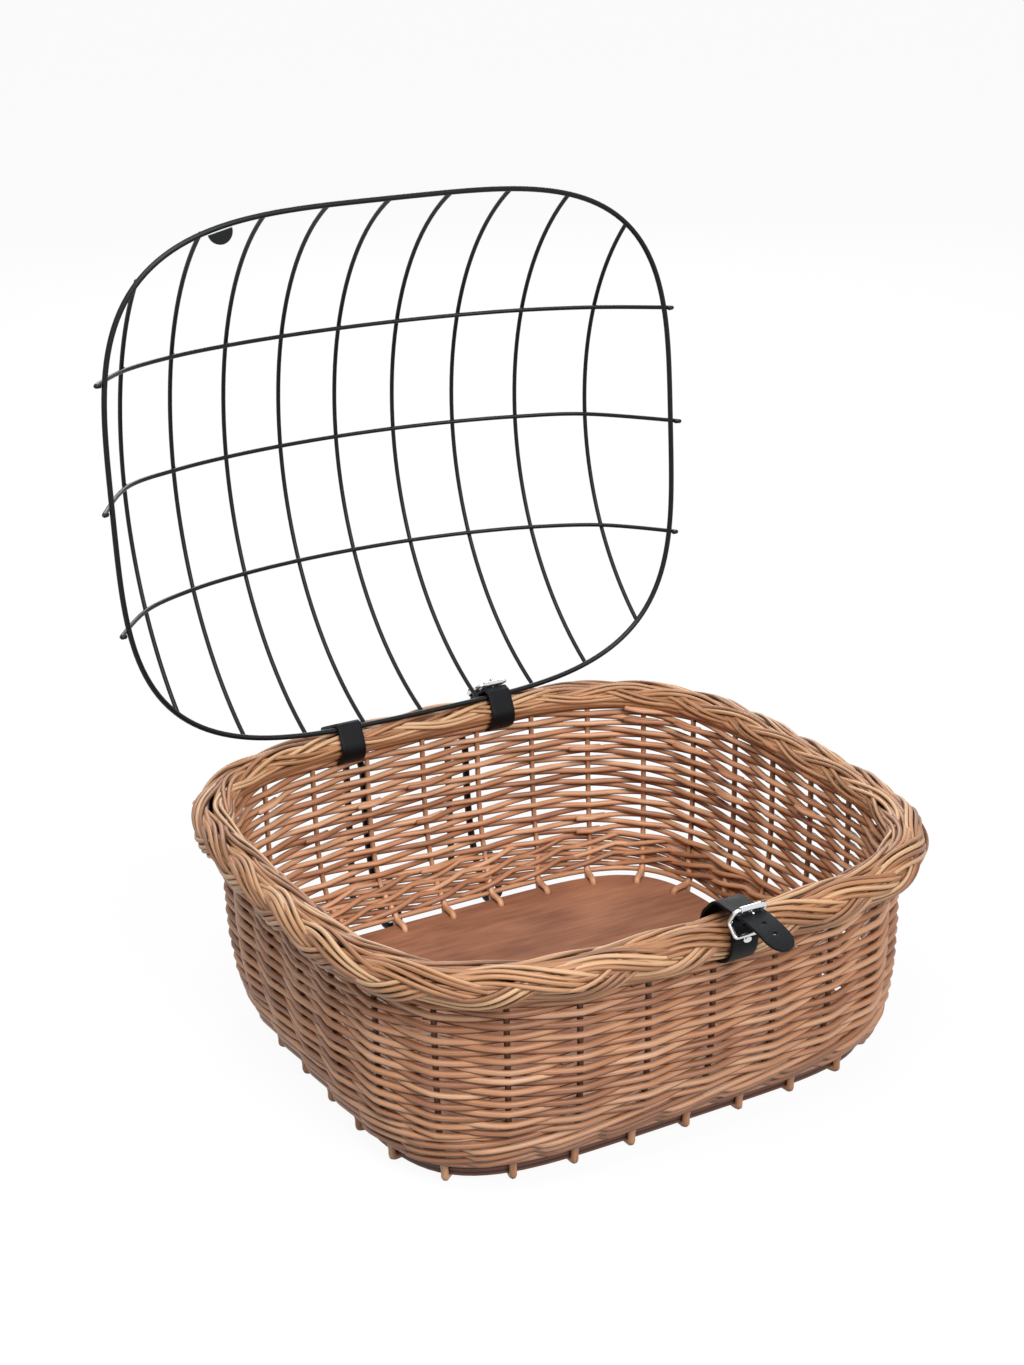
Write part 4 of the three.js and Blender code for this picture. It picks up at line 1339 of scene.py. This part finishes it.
@dataclass
class Buckle:
    """A roller buckle of bent wire, drawn in a strap's own depth and height."""

    prefix: str
    width: float = 25.2
    wire: float = 3.0
    corner: float = 2.4
    roller_radius: float = 2.6
    roller_length: float = 17.0
    prong_wire: float = 2.2
    overhang: float = 1.5
    fold_radius: float = 2.75
    fit: float = 0.3
    eye_wall: float = 0.8
    eye_radius: float = 1.0
    lip: float = 0.35
    prong_start: float = 0.9
    prong_tip: float = 0.8

    def build(self, place: Matrix, bars: Sequence[tuple[float, float]], heel: tuple[float, float],
              body: Body, roller_body: Body) -> None:
        """Make the frame, the roller and the prong.

        Args:
            place: Where the strap's frame sits, in millimetres.
            bars: Depth and height of the frame's cross bars, from the roller bar down.
            heel: Depth and height of the bar that carries the prong.
            body: The body of the frame and prong.
            roller_body: The roller's body.
        """
        self._bend_frame(place, bars, body)
        self._turn_roller(place, bars[0], roller_body)
        self._bend_prong(place, heel, bars[0], body)

    def prong_line(self, heel: Sequence[float], bar: Sequence[float]) -> tuple[np.ndarray, float]:
        """The prong's direction from its bar along the outside of the roller, and its length.

        Args:
            heel: Depth and height of the bar that carries the prong.
            bar: Depth and height of the roller bar.

        Returns:
            The direction and the length.
        """
        away = np.asarray(bar) - np.asarray(heel)
        length = float(np.linalg.norm(away))
        clear = self.roller_radius + self.fit + self.prong_wire / 2
        turn = math.asin(clear / length)
        cosine, sine = math.cos(turn), math.sin(turn)
        ahead = np.array([cosine * away[0] + sine * away[1], cosine * away[1] - sine * away[0]]) / length
        return ahead, math.sqrt(length ** 2 - clear ** 2) + self.overhang

    def _placed(self, points: Sequence, place: Matrix) -> np.ndarray:
        """Move points from the strap's frame."""
        return np.array([place @ Vector(point) for point in points])

    def _bend_frame(self, place: Matrix, bars: Sequence[tuple[float, float]], body: Body) -> None:
        """Bend the frame round its bars, with rounded corners and a bar at each inner place.

        Args:
            place: Where the strap's frame sits, in millimetres.
            bars: Depth and height of the frame's cross bars, from the roller bar down.
            body: The body that it moves with.
        """
        bundle = RodBundle(10)
        half = self.width / 2
        down = [Vector((half, *bar)) for bar in bars]
        corners = [*down, *[Vector((-corner.x, corner.y, corner.z)) for corner in reversed(down)]]
        path = []
        for i, corner in enumerate(corners):
            before = (corners[i - 1] - corner).normalized() * self.corner
            after = (corners[(i + 1) % len(corners)] - corner).normalized() * self.corner
            for share in np.linspace(0, 1, 6):
                first = corner + before * (1 - share)
                path.append(first.lerp(corner + after * share, share))
        bundle.add(self._placed(path, place), self.wire / 2, 0.5, True)
        for bar in bars[1:-1]:
            bundle.add(self._placed([(-half, *bar), (half, *bar)], place), self.wire / 2)
        name = f"{self.prefix}_buckle_frame"
        finished(f"{name}_wire", bundle.mesh(), BUCKLE_FINISH, body, [name])

    def _turn_roller(self, place: Matrix, bar: tuple[float, float], body: Body) -> None:
        """Spin the roller's wall round its bar.

        Args:
            place: Where the strap's frame sits, in millimetres.
            bar: Depth and height of its bar.
            body: The roller's body.
        """
        half, outer, lip = self.roller_length / 2, self.roller_radius, self.lip
        inner = self.wire / 2 + self.fit
        wall = [(-half, inner), (-half, outer - lip), (lip - half, outer), (half - lip, outer),
                (half, outer - lip), (half, inner)]
        shape = bmesh.new()
        verts = [shape.verts.new((x, bar[0] + radius, bar[1])) for x, radius in wall]
        edges = [shape.edges.new(pair) for pair in zip(verts, [*verts[1:], verts[0]])]
        bmesh.ops.spin(shape, geom=[*verts, *edges], cent=(0, *bar), axis=(1, 0, 0), angle=2 * math.pi,
                       steps=28, use_merge=True)
        bmesh.ops.remove_doubles(shape, verts=shape.verts, dist=0.01)
        bmesh.ops.recalc_face_normals(shape, faces=shape.faces)
        bmesh.ops.transform(shape, matrix=Matrix.Scale(MM, 4) @ place, verts=shape.verts)
        name = f"{self.prefix}_buckle_roller"
        finished(f"{name}_sleeve", rounded(meshed("roller", shape), 40), BUCKLE_FINISH, body, [name])

    def _bend_prong(self, place: Matrix, heel: tuple[float, float], bar: tuple[float, float],
                    body: Body) -> None:
        """Bend the prong round its bar and out over the roller.

        Args:
            place: Where the strap's frame sits, in millimetres.
            heel: Depth and height of the bar that carries the prong.
            bar: Depth and height of the roller bar.
            body: The body that it moves with.
        """
        bundle = RodBundle(10)
        eye = arc_points(heel, self.wire / 2 + self.fit + self.eye_wall, 0, 345, 24)
        bundle.add(self._placed([(0, *point) for point in eye], place), self.eye_radius, 0.5, True)
        ahead, reach = self.prong_line(heel, bar)
        start = np.asarray(heel) + ahead * (self.wire / 2 + self.prong_start)
        end = np.asarray(heel) + ahead * reach
        path = np.array([(0, *point) for point in np.linspace(start, end, 12)])
        taper = np.linspace(1.0, self.prong_tip, len(path)) * self.prong_wire / 2
        bundle.add(self._placed(path, place), taper)
        name = f"{self.prefix}_buckle_prong"
        finished(f"{name}_pin", bundle.mesh(), BUCKLE_FINISH, body, [name])


@dataclass
class HingeStrap:
    """A leather band round the border and the lid's wire, with its buckle on the outside."""

    side: str
    x: float
    angle: float
    roller_body: Body
    border: Border
    lid: Lid
    width: float = 21.0
    thickness: float = 2.5
    fit: float = 0.3
    slack: float = 0.6
    buckle_length: float = 27.0
    buckle_lift: float = 2.9
    fold_thickness: float = 2.2
    fold_opening: float = 35.0
    prong_slot: tuple[float, float] = (3.0, 11.0)
    pad: float = 1.0

    def build(self) -> None:
        """Wrap the band and buckle it."""
        depth = self.border.centre_line().depth_at(self.x)
        middle = self.border.middle()
        place = Matrix.Translation((self.x, depth, middle))
        outward = np.array([math.cos(math.radians(self.angle)), math.sin(math.radians(self.angle))])
        along = np.array([-outward[1], outward[0]])
        half = np.array([self.border.width / 2 + self.slack, self.border.height / 2])
        seat = float(np.linalg.norm(half * outward))
        wire = self.lid.rim_wire / 2 + self.slack
        ovals = [((0.0, 0.0), half),
                 ((self.lid.hinge_y - depth, self.lid.hinge_z - middle), np.array([wire, wire]))]
        for end in (-0.5, 0.5):
            spot = outward * (seat - self.pad) + along * end * self.buckle_length
            ovals.append((tuple(spot), np.array([self.pad, self.pad])))
        grow = self.fit + self.thickness / 2
        cloud = [np.asarray(centre) + (radii + grow) * [math.cos(turn), math.sin(turn)]
                 for centre, radii in ovals for turn in np.linspace(0, 2 * math.pi, 72, endpoint=False)]
        hull = np.array([cloud[i] for i in convex_hull_2d([tuple(point) for point in cloud])])
        loop = even_path(np.vstack([hull, hull[:1]]), 97)[:-1]
        band = ribbon(loop, self.width, closed=True)
        leather(f"{self.side}_hinge_leather", band, place, self.thickness, Body.BASKET,
                [f"{self.side}_hinge_strap"])
        level = seat + self.fit + self.thickness + self.buckle_lift
        heel = outward * level - along * self.buckle_length / 2
        roller = outward * level + along * self.buckle_length / 2
        buckle = Buckle(f"{self.side}_hinge")
        buckle.build(place, [tuple(roller), tuple(heel)], tuple(heel), Body.BASKET, self.roller_body)
        start = math.degrees(math.atan2(-outward[1], -outward[0]))
        first, last = start + self.fold_opening, start + 360 - self.fold_opening
        fold = even_path(arc_points(heel, buckle.fold_radius, first, last, 40), 22)
        leather(f"{self.side}_hinge_fold", ribbon(fold, self.width, slot=self.prong_slot), place,
                self.fold_thickness, Body.BASKET, [])


@dataclass
class FrontStrap:
    """The buckled strap at the front, drawn with its depth pointing out of the basket."""

    border: Border
    x: float = 10.0
    width: float = 21.0
    thickness: float = 2.5
    drawn_thickness: float = 2.2
    fit: float = 0.3
    slack: float = 0.6
    top_radius: float = 13.0
    top_place: tuple[float, float] = (3.0, 9.5)
    bar_angle: float = 28.0
    bar_seat: float = 1.2
    upper: float = 13.0
    lower: float = 11.7
    lower_angle: float = -43.0
    tail: float = 43.5
    droop: float = 8.5
    tip: float = 16.0
    folded_from: float = 1.5
    folded_to: float = 12.5
    fold_angles: tuple[float, float] = (-55.0, 195.0)
    fold_margin: float = 8.0
    layer_gap: float = 0.1
    prong_slot: tuple[float, float] = (1.0, 10.5)
    hole_pitch: float = 13.0
    hole_count: int = 3
    rivet_height: float = 5.5
    rivet_size: tuple[float, float, float] = (3.4, 1.0, 2.2)
    rivet_lean: float = 8.0

    def build(self) -> None:
        """Wrap the strap round the border and lead its tail out through the buckle."""
        depth = self.border.centre_line().depth_at(self.x)
        facing = Matrix.Rotation(math.pi, 4, "Z")
        place = Matrix.Translation((self.x, -depth, self.border.middle())) @ facing
        buckle = Buckle("front")
        top = np.array(self.top_place)
        middle = self.fit + self.thickness / 2
        bar = top + self._turned(self.bar_angle, self.top_radius + 2 * middle - self.fit + self.bar_seat)
        level = top[1] + self.top_radius + middle
        rise = level + middle + buckle.roller_radius - bar[1]
        roller = bar + np.array([math.sqrt(self.upper ** 2 - rise ** 2), rise])
        low = bar + self._turned(self.lower_angle, self.lower)
        ahead, _ = buckle.prong_line(bar, roller)
        prong_out = bar[0] + ahead[0] * (level - bar[1]) / ahead[1]
        layer = self._loop(middle + self.thickness + self.layer_gap)
        folded = (layer[:, 1] > self.folded_from) & (layer[:, 1] < self.folded_to)
        layer = layer[(layer[:, 0] > 0) & folded][::-1]
        fold = arc_points(bar, buckle.fold_radius, *self.fold_angles, 24)
        loop = self._loop(middle)
        angle = np.degrees(np.arctan2(loop[:, 1] - top[1], loop[:, 0] - top[0]))
        loop = loop[int(np.argmax(angle < self.bar_angle - self.fold_margin)):]
        share = np.linspace(0, 1, 24)
        tail = np.column_stack([roller[0] + self.tail * share, level - self.droop * share ** 2])
        raw = np.vstack([layer, fold, loop, tail])
        path = even_path(raw, 150)
        length = walked(path)[-1]
        holes = [length - float(tail[-1][0] - out)
                 for out in prong_out + self.hole_pitch * np.arange(self.hole_count)]
        turn = float(walked(layer)[-1])
        slot = (turn + self.prong_slot[0], turn + self.prong_slot[1])
        band = ribbon(path, self.width, tip=self.tip, holes=holes, slot=slot)
        leather("front_strap_leather", band, place, self.drawn_thickness, Body.FRONT_STRAP, ["front_strap"])
        bars = [tuple(roller), tuple(bar), tuple(low)]
        buckle.build(place, bars, tuple(bar), Body.FRONT_STRAP, Body.FRONT_ROLLER)
        nearest = layer[int(np.argmin(np.abs(layer[:, 1] - self.rivet_height)))]
        self._set_rivet(place, nearest)

    def _turned(self, degrees: float, length: float) -> np.ndarray:
        """A step of a length at an angle above level."""
        return length * np.array([math.cos(math.radians(degrees)), math.sin(math.radians(degrees))])

    def _loop(self, offset: float) -> np.ndarray:
        """The loop round the border and its raised top, from just past the top round to it again.

        Args:
            offset: How far outside the border and the raised top it runs.

        Returns:
            Its points as rows of depth and height.
        """
        under = self.border.width / 2 + self.slack + offset
        cloud = np.vstack([arc_points((0.0, 0.0), under, 0, 357, 120),
                           arc_points(self.top_place, self.top_radius + offset, 0, 357, 120)])
        hull = cloud[convex_hull_2d([tuple(point) for point in cloud])]
        middle = hull.mean(axis=0)
        crown = np.array([self.top_place[0], self.top_place[1] + self.top_radius + offset])
        turns = np.arctan2(hull[:, 1] - middle[1], hull[:, 0] - middle[0])
        first = math.atan2(crown[1] - middle[1], crown[0] - middle[0])
        order = np.argsort(np.mod(first - turns - 1e-4, 2 * math.pi))
        return np.vstack([hull[order], crown])

    def _set_rivet(self, place: Matrix, spot: np.ndarray) -> None:
        """Set the oval rivet that holds the folded end.

        Args:
            place: Where the strap's frame sits, in millimetres.
            spot: Depth and height on the middle of the folded end.
        """
        shape = bmesh.new()
        lean = Matrix.Rotation(math.radians(self.rivet_lean), 4, "X")
        size = Matrix.Diagonal((*self.rivet_size, 1.0))
        seat = Matrix.Translation((0, spot[0] + self.drawn_thickness / 2, spot[1]))
        matrix = Matrix.Scale(MM, 4) @ place @ seat @ lean @ size
        bmesh.ops.create_uvsphere(shape, u_segments=24, v_segments=14, radius=1.0, matrix=matrix)
        mesh = rounded(meshed("rivet", shape))
        finished("front_strap_rivet", mesh, BUCKLE_FINISH, Body.FRONT_STRAP, [])


@dataclass
class Hook:
    """A bent steel rod behind the wall that hangs the basket on a bar."""

    name: str
    x: float
    wall: WovenWall
    rod: float = 6.0
    gap: float = 28.0
    spread: float = 14.0
    turned_up: float = 38.0
    foot: float = 7.0
    top: float = 131.0
    tip: float = -2.0
    clear: float = 3.3
    wale_out: float = 12.8
    bend_depth: float = 0.8

    def wall_y(self, x: float, z: float) -> float:
        """Depth of the rod's middle where it lies on the wall.

        Args:
            x: The place across.
            z: The height.

        Returns:
            The depth, towards the hinge side.
        """
        low, high = [self.wall.outline(z + step).depth_at(x) for step in (-0.5, 0.5)]
        lean = math.hypot(1, high - low)
        board = self.wall.board
        half_x, half_y = board.width / 2 + self.wale_out, board.depth / 2 + self.wale_out
        foot = Superellipse(half_x, half_y, board.squareness)
        return max(self.wall.outline(z).depth_at(x) + self.clear * lean, foot.depth_at(x) + self.clear)

    def build(self) -> None:
        """Bend the hook."""
        back = self.x + self.spread
        middle = self.x + self.spread / 2
        rise = [(back, self.wall_y(back, z), z) for z in np.linspace(self.turned_up, self.foot, 5)]
        bend_y = self.wall_y(middle, self.foot)
        turn = arc_points((0, 0), self.spread / 2, 0, -180, 9)[1:-1]
        bend = [(middle + dx, bend_y, self.foot + self.bend_depth * dz) for dx, dz in turn]
        leg = [(self.x, self.wall_y(self.x, z), z) for z in np.linspace(self.foot, self.top, 12)]
        bow = (self.gap + self.rod) / 2
        crown_y = self.wall_y(self.x, self.top) + bow
        over = arc_points((0, 0), bow, 180, 0, 13)[1:]
        crown = [(self.x, crown_y + dy, self.top + dz) for dy, dz in over]
        free = [(self.x, crown_y + bow, z) for z in np.linspace(self.top, self.tip, 6)[1:]]
        bundle = RodBundle(12)
        bundle.add(smooth_path([*rise, *bend, *leg, *crown, *free], 3), self.rod / 2)
        finished(f"{self.name}_steel", bundle.mesh(), WIRE_FINISH, Body.BASKET, [self.name])


@dataclass(frozen=True)
class Lamp:
    """A large soft lamp: its power in watts, its side and its place in metres."""

    name: str
    power: float
    size: float
    place: tuple[float, float, float]


@dataclass
class Studio:
    """The floor, the soft light and the camera."""

    floor_z: float = -4.4
    floor_half: float = 20000.0
    floor_glow: float = 0.94
    floor_dull: str = "a8a8a8"
    white: str = "ffffff"
    fill: float = 0.25
    lamps: tuple[Lamp, ...] = (
        Lamp("key", 95.0, 1.4, (0.1, -3.2, 2.4)),
        Lamp("top", 52.0, 1.4, (-0.9, -0.7, 2.8)),
        Lamp("back", 38.0, 1.4, (1.4, 2.8, 1.8)),
    )
    sight: float = 100.0
    focal_pixels: float = 2213.6
    picture_height: float = 1365.0
    sensor: float = 36.0
    camera_place: tuple[float, float, float] = (-764.5, -1342.2, 869.2)
    camera_right: tuple[float, float, float] = (0.87356, -0.48622, -0.02173)
    camera_up: tuple[float, float, float] = (0.19096, 0.30134, 0.9342)

    def build(self) -> None:
        """Set the stage."""
        bpy.context.scene.view_settings.view_transform = "Standard"
        self._lay_floor()
        self._light()
        self._aim_camera()

    def _seen(self, graph: Graph) -> Value:
        """Tell which rays should meet a white background.

        Args:
            graph: The graph of a material or of the world.

        Returns:
            1 for such rays and 0 for the others.
        """
        path = graph.node("ShaderNodeLightPath")
        seen = graph.out(path, "Is Camera Ray") + graph.out(path, "Is Glossy Ray")
        return graph.clamp(seen + graph.out(path, "Is Transmission Ray"))

    def _lay_floor(self) -> None:
        """Lay a white floor that keeps a faint shadow."""
        shape = bmesh.new()
        bmesh.ops.create_grid(shape, x_segments=1, y_segments=1, size=self.floor_half * MM)
        bmesh.ops.translate(shape, vec=(0, 0, self.floor_z * MM), verts=shape.verts)
        mesh = meshed("floor", shape)
        material = bpy.data.materials.new("white_floor")
        material.use_nodes = True
        graph = Graph(material.node_tree)
        seen = self._seen(graph)
        white = linear(self.white)
        dull = graph.out(graph.node("ShaderNodeBsdfDiffuse", None, {"Color": linear(self.floor_dull)}))
        pale = graph.out(graph.node("ShaderNodeBsdfDiffuse", None, {"Color": white}))
        paint = graph.out(graph.node("ShaderNodeMixShader", None, {0: seen, 1: dull, 2: pale}))
        glow = graph.out(graph.node("ShaderNodeEmission", None, {"Color": white, "Strength": 1.0}))
        both = graph.node("ShaderNodeMixShader", None, {0: seen * self.floor_glow, 1: paint, 2: glow})
        graph.node("ShaderNodeOutputMaterial", None, {"Surface": graph.out(both)})
        mesh.materials.append(material)
        floor = bpy.data.objects.new("floor", mesh)
        bpy.context.scene.collection.objects.link(floor)

    def _light(self) -> None:
        """Fill from all round, with large soft lamps in front, overhead and behind."""
        world = bpy.data.worlds.new("studio")
        bpy.context.scene.world = world
        world.use_nodes = True
        graph = Graph(world.node_tree)
        strength = self._seen(graph) * (1 - self.fill) + self.fill
        sky = graph.node("ShaderNodeBackground", None, {"Color": linear(self.white), "Strength": strength})
        graph.node("ShaderNodeOutputWorld", None, {"Surface": graph.out(sky)})
        for lamp in self.lamps:
            self._hang_lamp(lamp)

    def _hang_lamp(self, lamp: Lamp) -> None:
        """Hang a lamp that points at the basket.

        Args:
            lamp: What the lamp is and where it hangs.
        """
        data = bpy.data.lights.new(lamp.name, "AREA")
        data.energy = lamp.power
        data.size = lamp.size
        hung = bpy.data.objects.new(lamp.name, data)
        hung.location = lamp.place
        hung.rotation_euler = (-Vector(lamp.place)).to_track_quat("-Z", "Y").to_euler()
        bpy.context.scene.collection.objects.link(hung)

    def _aim_camera(self) -> None:
        """Stand the camera where the photograph was taken."""
        data = bpy.data.cameras.new("camera")
        data.sensor_width = self.sensor
        data.lens = self.focal_pixels * self.sensor / self.picture_height
        data.clip_end = self.sight
        camera = bpy.data.objects.new("camera", data)
        right, up = Vector(self.camera_right), Vector(self.camera_up)
        axes = Matrix((right, up, right.cross(up))).transposed().to_4x4()
        camera.matrix_world = Matrix.Translation(Vector(self.camera_place) * MM) @ axes
        bpy.context.scene.collection.objects.link(camera)
        bpy.context.scene.camera = camera


def main() -> None:
    """Build the basket from its floor up, then its lid, straps, hooks and stage."""
    logging.basicConfig(level=logging.INFO, format="%(message)s")
    board = BaseBoard()
    board.build()
    wall = WovenWall(board)
    wall.build()
    border = Border()
    border.build()
    lid = Lid()
    lid.build()
    HingeStrap("left", -lid.hinge_strap_x, -25.0, Body.LEFT_ROLLER, border, lid).build()
    HingeStrap("right", lid.hinge_strap_x, 58.0, Body.RIGHT_ROLLER, border, lid).build()
    FrontStrap(border).build()
    Hook("left_hanging_hook", -52.0, wall).build()
    Hook("right_hanging_hook", 46.0, wall).build()
    Studio().build()


if __name__ == "__main__":
    main()
